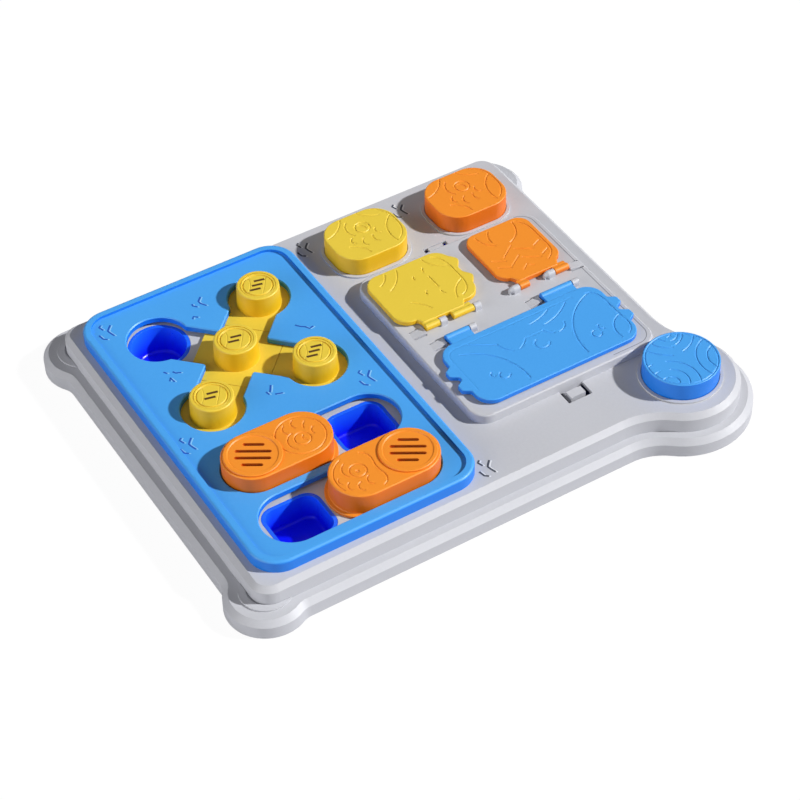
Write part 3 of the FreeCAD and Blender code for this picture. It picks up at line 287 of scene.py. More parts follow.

# Blue frame: a rimmed cover in sky blue ABS over the tiles and the sliders, snapped onto the deck.
# The same shard ornament is drawn on its panel, around the X of pockets, as a painted shadow in a deeper blue
# and a painted highlight in a paler blue.
# The coloured plastics give the eye a satin face, with walls painted slightly deeper, a painted shade, and
# edges paler, partly wear and partly a painted highlight.
bright_roughness, bright_bevel_mm = 0.46, 0.15
sky_abs = moulded_plastic("sky blue ABS, spark eroded", "#4AA5F0", "#409CE8", "#8AC6F8", "#107CE6",
                          spark_grain_mm, bright_roughness, bright_bevel_mm)
dress(("puzzle_frame",), sky_abs)
panel_top, panel_mark_width, panel_lit_width = 38.6, 1.3, 0.9
painted_shadow_blue = painted_light_material("deep blue paint, painted shadow", "#1857BE", "#124CAE", "#3A7AD0")
painted_highlight_blue = painted_light_material("pale blue paint, painted highlight", "#8CCBFA", "#80C2F4", "#A8D8FC")
panel_strokes = (
    ((-104.7, 126.5), (-105.0, 124.3), (-102.5, 121.4)),
    ((-95.6, 130.2), (-99.2, 126.5), (-98.9, 123.8), (-96.0, 119.2)),
    ((-112.0, 111.5), (-110.2, 113.7), (-107.4, 111.1)), ((-156.5, 72.9), (-154.7, 70.2)),
    ((-150.7, 69.7), (-149.2, 67.2), (-145.7, 65.7)), ((-157.0, 62.0), (-155.2, 65.2), (-154.2, 59.7)),
    ((-51.1, 64.7), (-48.3, 61.1), (-45.7, 59.2)), ((-45.7, 59.2), (-43.7, 55.7), (-40.2, 56.5)),
    ((-103.7, 14.7), (-102.9, 11.1)), ((-101.5, 13.0), (-100.2, 14.7), (-97.4, 19.2)),
    ((-99.2, 9.2), (-93.8, 7.4)))
panel_strokes += tuple(shard_strokes(((-171.6, 134.2), (-34.3, -10.9), (-175.7, -1.5))))
# The deeper blue strokes are a painted shadow, the paler ones beside them a painted highlight
panel_mark_shadows = marks(panel_strokes, panel_mark_width, panel_top + mark_lift)
make_piece("panel_mark_shadows", panel_mark_shadows, painted_shadow_blue, "board")
panel_mark_highlights = marks(panel_strokes, panel_lit_width, panel_top + lit_lift, lit_shift)
make_piece("panel_mark_highlights", panel_mark_highlights, painted_highlight_blue, "board")

# Pegs: square tiles of yellow ABS that slide under the frame, each with a hollow knob and a pressed-in cap.
# The cap carries a deep ring groove, two faint creases and two or three slanting cuts, drawn as flat dark
# strips of painted shade.
yellow_abs = moulded_plastic("warm yellow ABS, spark eroded", "#EACC42", "#E2C336", "#F5E48C", "#EEBE18",
                             spark_grain_mm, bright_roughness, bright_bevel_mm)
dress([name for name in nodes if name.startswith("peg_tile")], yellow_abs)


def bow(x0, y0, x1, y1, x2, y2):
    """An arc through three plan points, from the first to the last, by the circle that holds all three."""
    first, second, third = (complex(x0, y0), complex(x1, y1), complex(x2, y2))
    ratio = (third - first) / (second - first)
    bow_points = 25
    steps = np.linspace(0.0, 1.0, bow_points)
    if abs(ratio.imag) < 1e-3:
        line = first + (third - first) * steps
        return np.stack((line.real, line.imag), axis=1)
    centre = (second - first) * (ratio - abs(ratio) ** 2) / (2j * ratio.imag) + first
    turn = np.angle((third - centre) / (first - centre))
    middle = np.angle((second - centre) / (first - centre))
    if turn * middle < 0.0 or abs(middle) > abs(turn):
        turn -= math.copysign(2.0 * math.pi, turn)
    arc = centre + (first - centre) * np.exp(1j * turn * steps)
    return np.stack((arc.real, arc.imag), axis=1)


def ring(x, y, radius):
    """A circle as a closed stroke, whose last point is its first."""
    ring_points = 49
    turn = np.linspace(0.0, 2.0 * math.pi, ring_points)
    return np.stack((x + radius * np.cos(turn), y + radius * np.sin(turn)), axis=1)


def carve(points, strokes, depth, half_width):
    """How deep each plan point lies: the depth times exp(-(distance / half width) squared).

    The distance is to the nearest stroke. Points outside a stroke's box, grown by three half widths, stay
    level for that stroke.
    """
    reach = 3.0 * half_width
    sunk = np.zeros(len(points))
    for stroke in strokes:
        stroke = np.asarray(stroke, dtype=float)
        low, high = stroke.min(axis=0) - reach, stroke.max(axis=0) + reach
        near = np.nonzero(((points > low) & (points < high)).all(axis=1))[0]
        if not len(near):
            continue
        start, run = stroke[:-1], np.diff(stroke, axis=0)
        offset = points[near][:, None, :] - start
        share = np.clip((offset * run).sum(axis=-1) / (run * run).sum(axis=-1), 0.0, 1.0)
        gap = np.linalg.norm(offset - share[..., None] * run, axis=-1).min(axis=1)
        sunk[near] = np.maximum(sunk[near], depth * np.exp(-(gap / half_width) ** 2))
    return sunk


def inset_loop(outline, inset, height):
    """The outline moved in along its normals, at one height. A normal is a turned central difference."""
    along = np.roll(outline, -1, axis=0) - np.roll(outline, 1, axis=0)
    along /= np.linalg.norm(along, axis=1)[:, None]
    normal = np.stack((along[:, 1], -along[:, 0]), axis=1)
    return np.column_stack((outline - inset * normal, np.full(len(outline), height)))


groove_depth, groove_half_width = 0.6, 0.44


def carved_top(outline, inner, rows, top, rounding, strokes, depth=groove_depth,
               half_width=groove_half_width):
    """The rows from the inner loop out to the edge, as straight mixes of the two, sunk along the strokes."""
    edge = inset_loop(outline, rounding, top)
    mix = np.linspace(0.0, 1.0, rows)[:, None, None]
    loops = np.empty((rows, len(outline), 3))
    loops[..., :2] = inner[None] * (1.0 - mix) + edge[None, :, :2] * mix
    loops[..., 2] = top - carve(loops[..., :2].reshape(-1, 2), strokes, depth, half_width).reshape(rows, -1)
    return loops


def rounded_edge(outline, top, rounding):
    """The rows of a quarter round from the top's edge to the wall."""
    turns = np.radians((72.0, 54.0, 36.0, 18.0, 0.0))
    return [inset_loop(outline, rounding * (1.0 - math.cos(turn)), top - rounding * (1.0 - math.sin(turn)))
            for turn in turns]


def circle(x, y, radius, count):
    """A circle as an outline of so many points, the first of which isn't repeated."""
    turn = np.arange(count) * 2.0 * math.pi / count
    return np.stack((x + radius * np.cos(turn), y + radius * np.sin(turn)), axis=1)


def centre_loop(outline, x, y):
    """One plan point, as often as the outline has points: the pole that a top closes on."""
    return np.tile((x, y), (len(outline), 1)).astype(float)


# Each peg's middle and its number of cuts
peg_places = {"centre": (-101.0, 63.98, 2), "back_right": (-58.57, 106.4, 3),
              "front_right": (-58.57, 21.55, 3), "front_left": (-143.43, 21.55, 2)}
peg_cap_radius, peg_cap_top, peg_cap_bottom, peg_cap_rounding = 13.3, 50.6, 48.62, 0.5
peg_ring_radius, peg_ring_depth, peg_ring_half_width = 11.3, 0.95, 0.42
crease_depth, crease_half_width = 0.35, 0.3
cut_half_run, cut_width, cut_pitch, cut_root, cut_lift = (4.0, -0.95), 2.0, 3.7, 0.4, 0.05
cut_middle = (-0.2, 0.4)
peg_points, peg_rows = 240, 84
# The cuts are a painted shade: flat dark strips for the dark of a slot that the light doesn't reach
cap_painted_shade = painted_light_material("brown paint, painted slot shade", "#54340C", "#482A08", "#6A4618")
for place, (x, y, cuts) in peg_places.items():
    outline = circle(x, y, peg_cap_radius, peg_points)
    pole = centre_loop(outline, x, y)
    creases = [bow(x - 10.0, y - 3.4, x - 5.2, y + 2.4, x - 2.6, y + 10.0),
               bow(x - 1.4, y - 10.0, x + 3.0, y - 4.4, x + 8.8, y + 4.6)]
    top_rows = carved_top(outline, pole, peg_rows, peg_cap_top, peg_cap_rounding,
                          [ring(x, y, peg_ring_radius)], peg_ring_depth, peg_ring_half_width)
    sunk = carve(top_rows[..., :2].reshape(-1, 2), creases, crease_depth, crease_half_width)
    top_rows[..., 2] -= sunk.reshape(top_rows.shape[:2])
    base = np.column_stack((pole, np.full(len(pole), peg_cap_bottom)))
    lower_rows = rounded_edge(outline, peg_cap_top, peg_cap_rounding)
    lower_rows += [inset_loop(outline, 0.0, peg_cap_bottom), base]
    loops = np.concatenate((top_rows, np.stack(lower_rows)))
    make_piece("peg_cap_top_" + place, [join_loops(loops)], yellow_abs, "peg_" + place,
               ("peg_cap_" + place,))
    slashes = []
    for index in range(cuts):
        step = cut_pitch * (index - (cuts - 1) / 2.0)
        middle = np.array((x + step + cut_middle[0], y + step + cut_middle[1]))
        half = np.array(cut_half_run)
        slashes.append(ribbon((middle - half, middle, middle + half), cut_width, peg_cap_top - cut_root,
                              peg_cap_top + cut_lift))
    make_piece("peg_slashes_" + place, slashes, cap_painted_shade, "peg_" + place)

# Sliders: hollow moulded bodies of orange ABS in two lanes, each with a vented cap pressed into one end.
# A paw of rings and toes inside a contour line is sunk 0.6 mm into the other end.
orange_abs = moulded_plastic("soft orange ABS, spark eroded", "#F79428", "#F08A1E", "#FFB66C", "#EA7402",
                             spark_grain_mm, bright_roughness, bright_bevel_mm)
dress([name for name in nodes if name.startswith("vent_cap")], orange_abs)


def rounded_outline(x, y, length, depth, corner, count, bumps=()):
    """A rounded rectangle as points at equal steps, from its right middle and counterclockwise.

    A bump (x, y, half width, flank, reach, way x, way y) pushes the side next to it out by its reach,
    by a plateau whose flanks are half cosine waves. It leaves points well behind it where they are.
    Returns the plain outline and the one with its bumps.
    """
    least_straight, arc_points, behind = 0.01, 33, -8.0
    corner = min(corner, length / 2.0 - least_straight, depth / 2.0 - least_straight)
    path = [np.array((x + length / 2.0, y))]
    for sign_x, sign_y, start in ((1, 1, 0.0), (-1, 1, 90.0), (-1, -1, 180.0), (1, -1, 270.0)):
        turn = np.radians(np.linspace(start, start + 90.0, arc_points))
        centre_x = x + sign_x * (length / 2.0 - corner)
        centre_y = y + sign_y * (depth / 2.0 - corner)
        path.extend(np.stack((centre_x + corner * np.cos(turn), centre_y + corner * np.sin(turn)), axis=1))
    path.append(path[0])
    path = np.array(path)
    run = np.concatenate(((0.0,), np.cumsum(np.linalg.norm(np.diff(path, axis=0), axis=1))))
    steps = np.arange(count) * run[-1] / count
    outline = np.stack((np.interp(steps, run, path[:, 0]), np.interp(steps, run, path[:, 1])), axis=1)
    pushed = outline.copy()
    for bump_x, bump_y, half, flank, reach, way_x, way_y in bumps:
        away = outline - (bump_x, bump_y)
        aside = np.abs(away[:, 0] * way_y - away[:, 1] * way_x)
        share = np.clip((half - aside) / flank, 0.0, 1.0)
        share *= (away[:, 0] * way_x + away[:, 1] * way_y) > behind
        pushed += (reach * (0.5 - 0.5 * np.cos(math.pi * share)))[:, None] * np.array((way_x, way_y))
    return outline, pushed


slider_top, slider_bottom, slider_wall, slider_rounding = 51.0, 31.2, 2.4, 1.2
slider_length, slider_width = 84.0, 45.8
lip, lip_top, lip_root, lip_fillet, lip_rounding = 3.0, 33.4, 0.5, 0.5, 0.4
vent_hole = 14.65
slider_points, slider_rows = 460, 180
back_paw = [
    ring(18.6, -0.6, 18.1), bow(14.0, 4.0, 7.2, -2.5, 10.0, -11.5), ring(18.4, -4.2, 6.0),
    bow(20.3, -1.6, 18.6, -4.0, 20.3, -6.4), bow(12.6, 13.4, 9.8, 9.0, 11.4, 4.6),
    bow(20.6, 15.2, 17.8, 11.6, 18.8, 7.4), bow(27.6, 10.0, 24.8, 7.0, 24.0, 4.2),
    bow(30.0, 2.4, 27.4, -0.6, 27.8, -4.0)]
front_paw = [
    np.array(
        ((-10.5, 16.5), (-8.0, 14.6), (-6.3, 12.0), (-5.9, 8.5), (-6.3, 5.0), (-6.9, 1.5), (-7.0, -2.0),
         (-6.4, -6.0), (-5.6, -9.5), (-5.8, -13.0), (-7.6, -16.5), (-11.0, -18.5))),
    bow(-26.0, 17.5, -37.5, 6.0, -37.0, -9.0), ring(-19.8, 2.6, 6.1), ring(-20.4, 2.2, 0.8),
    bow(-25.5, 12.8, -29.9, 7.0, -28.2, 0.5), bow(-35.2, 2.8, -36.9, 0.0, -35.6, -3.0),
    bow(-30.8, -4.2, -33.6, -7.2, -32.6, -11.0), bow(-23.6, -7.8, -27.4, -11.4, -25.0, -16.0),
    bow(-16.0, -5.2, -19.1, -9.2, -16.6, -14.0)]
# Each slider's middle, the middle of its vent and its paw
slider_places = {"back": (-128.4, -46.25, -147.5, back_paw), "front": (-73.6, -100.25, -54.5, front_paw)}
for place, (x, y, vent_x, paw) in slider_places.items():
    outline, _ = rounded_outline(x, y, slider_length, slider_width, slider_width / 2.0, slider_points)
    ray = outline - (vent_x, y)
    ray /= np.linalg.norm(ray, axis=1)[:, None]
    hole = ray * vent_hole + (vent_x, y)
    strokes = [stroke + (x, y) for stroke in paw]
    ceiling = slider_top - slider_wall
    top_rows = carved_top(outline, hole, slider_rows, slider_top, slider_rounding, strokes)
    lower_rows = rounded_edge(outline, slider_top, slider_rounding)
    lower_rows += [inset_loop(outline, inset, height) for inset, height in (
        (0.0, lip_top + lip_root), (-lip_fillet, lip_top), (-lip + lip_rounding, lip_top),
        (-lip, lip_top - lip_rounding), (-lip, slider_bottom), (slider_wall, slider_bottom),
        (slider_wall, ceiling))]
    lower_rows.append(np.column_stack((hole, np.full(len(hole), ceiling))))
    loops = np.concatenate((top_rows, np.stack(lower_rows)))
    make_piece("slider_top_" + place, [join_loops(loops, closed=True)], orange_abs,
               "slider_" + place + "_body", ("slider_" + place,))

# Flip lid tray: a raised block with three wells, moulded in the same grey ABS and snapped onto the deck.
# Its knuckles and spring tongues hold the lids. A fine dark line, a painted shadow of a shallow step, runs
# inside its right edge.
dress(("lid_tray",), grey_abs)
tray_top, line_width, line_lift, line_points, line_corner = 39.0, 0.5, 0.05, 900, 11.5
line_x, line_y, line_length, line_depth = 87.75, -5.4, 151.1, 167.4
right_edge, front_corner_x, front_corner_y = 152.0, 128.0, -80.0
# The line is a painted shadow: the shadow of a shallow step
painted_line_shadow = painted_light_material("grey paint, painted step shadow", "#7C7E86", "#72747C", "#8C8E96")
_, tray_line = rounded_outline(line_x, line_y, line_length, line_depth, line_corner, line_points)
on_right = tray_line[:, 0] > right_edge
at_front = (tray_line[:, 0] > front_corner_x) & (tray_line[:, 1] < front_corner_y)
right_part = np.nonzero(on_right | at_front)[0]
right_part = right_part[np.argsort((right_part + line_points // 2) % line_points)]
line_path = ribbon(tray_line[right_part], line_width, tray_top - mark_root, tray_top + line_lift)
make_piece("tray_line", [line_path], painted_line_shadow, "board")

# Flip lids: three moulded ABS plates on snap-in barrels, one yellow, one orange and one blue.
# Arcs, strokes and chevrons are sunk 0.6 mm into their tops; ears and waves at their edges give a grip.
lid_top, lid_bottom, lid_rounding, lid_chamfer = 44.0, 40.0, 0.9, 0.3
hinge_z, barrel_radius, barrel_chamfer = 42.0, 2.8, 0.35
pin_radius, pin_length, pin_root, pin_chamfer = 1.2, 3.2, 0.5, 0.2
arm_inset, arm_half_height, arm_rounding, arm_corner = 0.2, 1.5, 0.3, 1.0
slab_points, rod_points = 64, 48


def slab(x0, x1, y0, y1, bottom, top, rounding):
    """A small block with all its top and bottom edges rounded, as loops from pole to pole."""
    middle_x, middle_y = (x0 + x1) / 2.0, (y0 + y1) / 2.0
    outline, _ = rounded_outline(middle_x, middle_y, x1 - x0, y1 - y0, arm_corner, slab_points)
    pole = centre_loop(outline, middle_x, middle_y)
    loops = [np.column_stack((pole, np.full(slab_points, top))), inset_loop(outline, rounding, top)]
    loops += rounded_edge(outline, top, rounding)
    loops += [inset_loop(outline, 0.0, bottom + rounding), inset_loop(outline, rounding, bottom),
              np.column_stack((pole, np.full(slab_points, bottom)))]
    return join_loops(np.stack(loops))


def rod(x0, x1, y, z, radius, chamfer):
    """A round bar along X with chamfered ends: a circle of the profile's radius at each of its places."""
    turn = np.linspace(0.0, 2.0 * math.pi, rod_points, endpoint=False)
    profile = ((x0, 0.0), (x0, radius - chamfer), (x0 + chamfer, radius), (x1 - chamfer, radius),
               (x1, radius - chamfer), (x1, 0.0))
    loops = [np.column_stack((np.full(rod_points, place), y + size * np.cos(turn), z + size * np.sin(turn)))
             for place, size in profile]
    return join_loops(np.stack(loops))


def lid_shell(outline, inner, rows, strokes):
    """A lid's plate: the sunk top, a rounded edge, the wall, and a flat underside."""
    top_rows = carved_top(outline, inner, rows, lid_top, lid_rounding, strokes)
    lower_rows = rounded_edge(outline, lid_top, lid_rounding)
    lower_rows += [inset_loop(outline, 0.0, lid_bottom + lid_chamfer),
                   inset_loop(outline, lid_chamfer, lid_bottom),
                   np.column_stack((inner, np.full(len(inner), lid_bottom)))]
    return join_loops(np.concatenate((top_rows, np.stack(lower_rows))))


def barrel(x0, x1, hinge_y, edge_y, pin_side):
    """A barrel, its arm to the plate and its pin."""
    root = x1 if pin_side > 0 else x0
    tip = root + pin_side * pin_length
    return [rod(x0, x1, hinge_y, hinge_z, barrel_radius, barrel_chamfer),
            slab(x0 + arm_inset, x1 - arm_inset, min(hinge_y, edge_y), max(hinge_y, edge_y),
                 hinge_z - arm_half_height, hinge_z + arm_half_height, arm_rounding),
            rod(min(root - pin_root, tip), max(root + pin_root, tip), hinge_y, hinge_z, pin_radius,
                pin_chamfer)]


# The yellow lid has two ears on its right and a tab over its barrels
upper_hinge_y, upper_arm_y = 6.75, 12.5
_, outline = rounded_outline(47.0, 44.75, length=71.0, depth=58.0, corner=12.5, count=600, bumps=(
    (82.5, 57.0, 9.0, 9.0, 4.6, 1.0, 0.0), (82.5, 36.0, 9.0, 9.0, 4.6, 1.0, 0.0),
    (45.5, 15.75, 21.0, 4.0, 5.2, 0.0, -1.0)))
yellow_strokes = [
    np.array(
        ((27.0, 24.5), (29.4, 22.9), (31.3, 20.6), (33.0, 17.2), (34.1, 13.0), (34.6, 8.0), (34.6, -8.0),
         (34.1, -13.0), (32.9, -16.8), (30.7, -20.3), (28.2, -22.4), (25.0, -23.6))),
    bow(-13.0, 26.4, -16.0, 21.2, -22.0, 17.0), bow(-3.0, 26.2, -8.3, 16.3, -18.5, 8.3),
    bow(19.5, 26.0, 24.0, 16.2, 33.4, 10.4), bow(3.9, 12.6, 3.0, 11.0, 3.4, 9.3),
    bow(15.0, 17.4, 13.8, 15.2, 13.6, 13.2), bow(14.2, 7.2, 14.4, 0.0, 14.4, -5.8),
    bow(4.4, -5.8, 3.0, -7.6, 3.0, -9.6), bow(13.7, -11.0, 13.9, -13.2, 15.2, -15.2),
    bow(-12.0, -11.0, -6.4, -16.6, -2.4, -23.8), bow(20.2, -24.2, 24.4, -15.0, 33.6, -8.4)]
yellow_strokes = [stroke + (43.5, 44.75) for stroke in yellow_strokes]
shells = [lid_shell(outline, centre_loop(outline, 47.0, 44.75), rows=140, strokes=yellow_strokes)]
shells += barrel(26.5, 38.5, upper_hinge_y, upper_arm_y, 1)
shells += barrel(50.5, 68.5, upper_hinge_y, upper_arm_y, 1)
make_piece("flip_lid_left_top", shells, yellow_abs, "flip_left", ("flip_lid_left",))

# The orange lid has a neck over its barrels and four chevrons on its face
_, outline = rounded_outline(129.0, 45.25, length=56.0, depth=57.0, corner=10.5, count=560, bumps=(
    (129.8, 16.75, 21.5, 5.0, 6.2, 0.0, -1.0),))
chevrons = [
    bow(-12.0, -6.6, -6.0, -2.0, 0.0, 2.4), bow(0.4, -2.0, 6.5, -5.8, 12.6, -9.6),
    bow(-12.0, -17.6, -6.5, -13.8, -1.0, -10.0), bow(0.4, -13.4, 6.5, -17.0, 12.6, -20.6),
    bow(-6.6, -25.6, -4.0, -23.6, -1.0, -21.6), bow(0.6, -23.6, 2.0, -24.6, 3.4, -25.6),
    bow(15.0, -6.6, 18.5, -5.0, 22.0, -3.4), bow(15.4, -18.0, 18.5, -16.5, 22.0, -15.0),
    bow(-22.0, -5.6, -17.0, -8.2, -13.0, -10.6), bow(-22.0, -14.0, -17.0, -16.6, -13.0, -19.0)]
orange_strokes = [
    np.array(
        ((17.6, 24.2), (20.4, 21.9), (22.6, 18.6), (23.9, 14.6), (24.5, 10.0), (24.6, -11.0),
         (24.2, -15.4), (22.9, -19.0), (20.6, -22.0), (15.6, -25.6))),
    bow(-18.4, 24.0, -16.6, 16.0, -9.4, 8.8), bow(-6.2, 25.2, -9.6, 19.4, -10.3, 12.8),
    bow(15.6, 24.6, 12.4, 13.8, 2.0, 6.0)] + chevrons
orange_strokes = [stroke + (129.0, 45.25) for stroke in orange_strokes]
shells = [lid_shell(outline, centre_loop(outline, 129.0, 44.0), rows=130, strokes=orange_strokes)]
shells += barrel(109.5, 118.0, upper_hinge_y, upper_arm_y, -1)
shells += barrel(141.0, 153.5, upper_hinge_y, upper_arm_y, -1)
make_piece("flip_lid_right_top", shells, orange_abs, "flip_right", ("flip_lid_right",))

# The blue lid has a wave of two teeth on either end and a few fainter strokes, mostly along its border
wide_x, wide_y, wide_spine = 88.0, -53.0, 36.0
wide_hinge_y, wide_arm_y = -11.25, -20.6
faint_depth, faint_half_width, top_reach = 0.22, 0.5, 0.55
wide_outline = {"length": 139.0, "depth": 66.5, "corner": 14.0, "count": 820}
base_outline, outline = rounded_outline(wide_x, wide_y, **wide_outline, bumps=(
    (18.5, -45.5, 7.4, 5.4, 5.8, -1.0, 0.0), (18.5, -62.0, 7.4, 5.4, 5.8, -1.0, 0.0),
    (157.5, -45.5, 7.4, 5.4, 6.0, 1.0, 0.0), (157.5, -62.0, 7.4, 5.4, 6.0, 1.0, 0.0)))
blue_strokes = [
    np.array(
        ((57.6, 25.6), (60.6, 24.6), (63.0, 22.4), (64.6, 19.0), (65.4, 14.0), (65.6, -4.0),
         (66.2, -17.0), (65.4, -21.0), (63.4, -24.4), (60.0, -27.0))),
    bow(60.0, 25.0, 33.6, 7.4, 23.2, -27.6), bow(65.2, -6.6, 56.2, -12.6, 53.2, -27.6),
    bow(-57.6, 20.0, -36.0, 4.4, -27.2, -27.6), bow(-46.6, 26.2, -38.0, 20.2, -28.6, 14.6),
    bow(-28.4, 14.6, -26.8, 9.0, -21.4, 2.8), bow(-16.6, 2.2, -12.0, 4.8, -7.4, 9.2),
    bow(8.0, 9.2, 10.4, 5.6, 14.2, 2.8), bow(18.4, 1.8, 23.0, 3.4, 26.4, 8.6),
    bow(13.0, 13.8, 28.0, 18.2, 39.0, 25.9), bow(4.0, 19.8, 13.0, 21.4, 23.4, 26.0),
    bow(-1.4, 3.4, -5.2, -2.8, 0.0, -6.6), bow(0.0, -6.6, 3.6, -5.8, 5.6, -3.4),
    bow(-47.8, -7.8, -49.8, -10.2, -47.6, -12.4), bow(-42.4, -11.0, -44.8, -14.6, -41.0, -18.3),
    bow(-41.0, -18.3, -38.6, -17.8, -37.0, -16.2), bow(39.6, -11.2, 36.0, -14.8, 38.6, -18.4),
    bow(38.6, -18.4, 41.6, -18.0, 43.2, -15.4), bow(45.6, -7.8, 44.2, -10.4, 47.4, -13.0)]
faint_strokes = [
    bow(-65.4, 18.0, -63.4, 24.4, -57.4, 27.2), bow(-57.4, 27.2, 0.0, 27.2, 46.0, 27.2),
    bow(-65.6, 18.0, -65.6, 0.0, -65.6, -18.0), bow(-7.4, 9.2, 0.0, 8.8, 8.0, 9.2)]
blue_strokes = [stroke + (88.5, -53.0) for stroke in blue_strokes]
faint_strokes = [stroke + (88.5, -53.0) for stroke in faint_strokes]
# Its top closes on a straight spine, so that its rows stay even along its length
spine_x = np.clip(base_outline[:, 0], wide_x - wide_spine, wide_x + wide_spine)
spine = np.column_stack((spine_x, np.full(len(outline), wide_y)))
wide_points, wide_quads = lid_shell(outline, spine, rows=104, strokes=blue_strokes)
top_points = np.abs(wide_points[:, 2] - lid_top) < top_reach
wide_points[top_points, 2] -= carve(wide_points[top_points, :2], faint_strokes, faint_depth, faint_half_width)
shells = [(wide_points, wide_quads)]
shells += barrel(33.0, 53.0, wide_hinge_y, wide_arm_y, 1) + barrel(117.0, 144.0, wide_hinge_y, wide_arm_y, 1)
make_piece("flip_lid_wide_top", shells, sky_abs, "flip_wide", ("flip_lid_wide",))

# Lift-off caps and round lid: hollow moulded caps in the same plastics, which sit loose in a low grey ring.
# Their tops carry a paw, a leaf shape and corner arcs; the round lid has fans of arcs inside a rim.


cap_wall, cap_foot, cap_chamfer = 2.6, 31.0, 0.3


def hollow_cap(outline, x, y, rows, top, strokes, rounding):
    """A cap: the sunk top, a rounded edge, the wall down to its foot, and the hollow up to its ceiling."""
    pole = centre_loop(outline, x, y)
    ceiling = top - cap_wall
    lower_rows = rounded_edge(outline, top, rounding)
    lower_rows += [inset_loop(outline, inset, height) for inset, height in (
        (0.0, cap_foot + cap_chamfer), (cap_chamfer, cap_foot), (cap_wall, cap_foot), (cap_wall, ceiling))]
    lower_rows.append(np.column_stack((pole, np.full(len(pole), ceiling))))
    top_rows = carved_top(outline, pole, rows, top, rounding, strokes)
    return join_loops(np.concatenate((top_rows, np.stack(lower_rows))))


cap_strokes = [
    ring(1.7, 7.6, 5.9), bow(0.2, 10.8, 3.0, 8.6, 3.6, 5.4), bow(-7.0, 18.2, -11.0, 9.2, -8.0, 2.4),
    bow(-11.8, 0.6, -13.9, -3.0, -12.2, -6.4), bow(-3.8, -3.8, -6.5, -7.6, -4.8, -12.4),
    bow(4.0, -4.0, 2.8, -8.0, 5.2, -12.4), bow(9.6, 2.0, 8.2, -0.8, 11.8, -4.8),
    bow(-8.6, 25.0, -13.4, 17.4, -27.6, 9.6), bow(5.4, 24.8, 10.4, 18.6, 20.4, 13.8),
    bow(27.8, 9.6, 18.0, -1.6, 17.0, -19.6), bow(-18.0, -7.4, -11.0, -12.0, -7.2, -20.4),
    np.array(
        ((17.6, 23.4), (21.4, 20.8), (24.6, 17.2), (26.6, 13.4), (27.7, 9.6), (28.3, 4.0), (28.3, -3.0),
         (27.4, -8.0), (25.4, -12.4), (22.8, -15.8), (19.8, -18.4)))]
cap_y, cap_length, cap_depth, cap_corner, cap_top, cap_rounding = 116.2, 60.5, 50.5, 19.0, 47.6, 0.9
cap_points, cap_rows = 520, 130
cap_places = (("left", 41.05, yellow_abs, "yellow"), ("right", 131.95, orange_abs, "orange"))
for place, x, material, slot in cap_places:
    _, outline = rounded_outline(x, cap_y, cap_length, cap_depth, cap_corner, cap_points)
    strokes = [stroke + (x, cap_y) for stroke in cap_strokes]
    shell = hollow_cap(outline, x, cap_y, cap_rows, cap_top, strokes, cap_rounding)
    make_piece("lift_cap_top_" + place, [shell], material, "cap_" + place, ("lift_cap_" + place,))

lid_x, lid_y, lid_radius, round_lid_top, round_lid_rounding = 162.5, -124.75, 28.3, 46.6, 0.8
lid_points, lid_rows = 480, 120
fan = [
    ring(0.0, 0.0, 26.5), bow(-16.8, 20.0, -11.2, 12.2, -3.4, 6.0),
    bow(-9.4, 24.2, -6.6, 18.6, 1.6, 13.0), bow(-2.4, 26.0, -1.4, 23.8, 0.6, 21.4),
    bow(9.0, 26.0, 7.0, 24.0, 4.2, 23.4), bow(13.2, 23.4, 10.6, 20.4, 4.6, 19.0),
    bow(15.8, 21.6, 12.4, 17.2, 5.0, 14.0), bow(21.9, 15.6, 16.0, 9.8, 5.4, 5.6),
    bow(24.6, 8.2, 9.2, -6.0, 9.2, -24.6), bow(25.8, -0.8, 16.4, -9.4, 16.6, -20.4),
    bow(-17.4, -11.6, -14.6, -15.4, -16.2, -19.4), bow(-13.6, -5.0, -7.4, -13.0, -10.2, -23.8),
    bow(-11.0, 3.2, 0.8, -13.6, -1.8, -26.0), bow(-25.6, 5.2, -24.0, 5.8, -22.0, 5.8),
    bow(-25.8, -3.4, -24.0, -2.6, -21.6, -2.8), bow(-24.0, -11.2, -22.2, -10.4, -20.2, -10.8)]
outline = circle(lid_x, lid_y, lid_radius, lid_points)
fan = [stroke + (lid_x, lid_y) for stroke in fan]
shell = hollow_cap(outline, lid_x, lid_y, lid_rows, round_lid_top, fan, round_lid_rounding)
make_piece("round_lid_top", [shell], sky_abs, "lid_round", ("round_lid",))

# Floor: a wide sheet of matt paper under the board, which takes its shadow and throws light back up.
# The camera sees nine tenths of it as plain white, so that the picture's ground is white and only a
# trace of the shadow stays.
floor_size, white_share, white_strength = 40.0, 0.9, 1.06
floor_mesh = bpy.data.meshes.new("floor")
half = floor_size / 2.0
floor_mesh.from_pydata([(-half, -half, 0.0), (half, -half, 0.0), (half, half, 0.0), (-half, half, 0.0)], [],
                       [(0, 1, 2, 3)])
floor = bpy.data.objects.new("floor", floor_mesh)
bpy.context.scene.collection.objects.link(floor)
floor_paint = bpy.data.materials.new("matt white paper, sized")
floor_paint.use_nodes = True
floor_tree = floor_paint.node_tree
floor_shader = floor_tree.nodes["Principled BSDF"]
floor_shader.inputs["Base Color"].default_value = linear("#C4C4C6")
floor_shader.inputs["Roughness"].default_value = 0.9
floor_white = add_node(floor_tree, "ShaderNodeEmission",
                       (("Color", linear("#FFFFFF")), ("Strength", white_strength)))
floor_ray = add_node(floor_tree, "ShaderNodeLightPath").outputs["Is Camera Ray"]
floor_share = add_node(floor_tree, "ShaderNodeMath", ((0, floor_ray), (1, white_share)), operation="MULTIPLY")
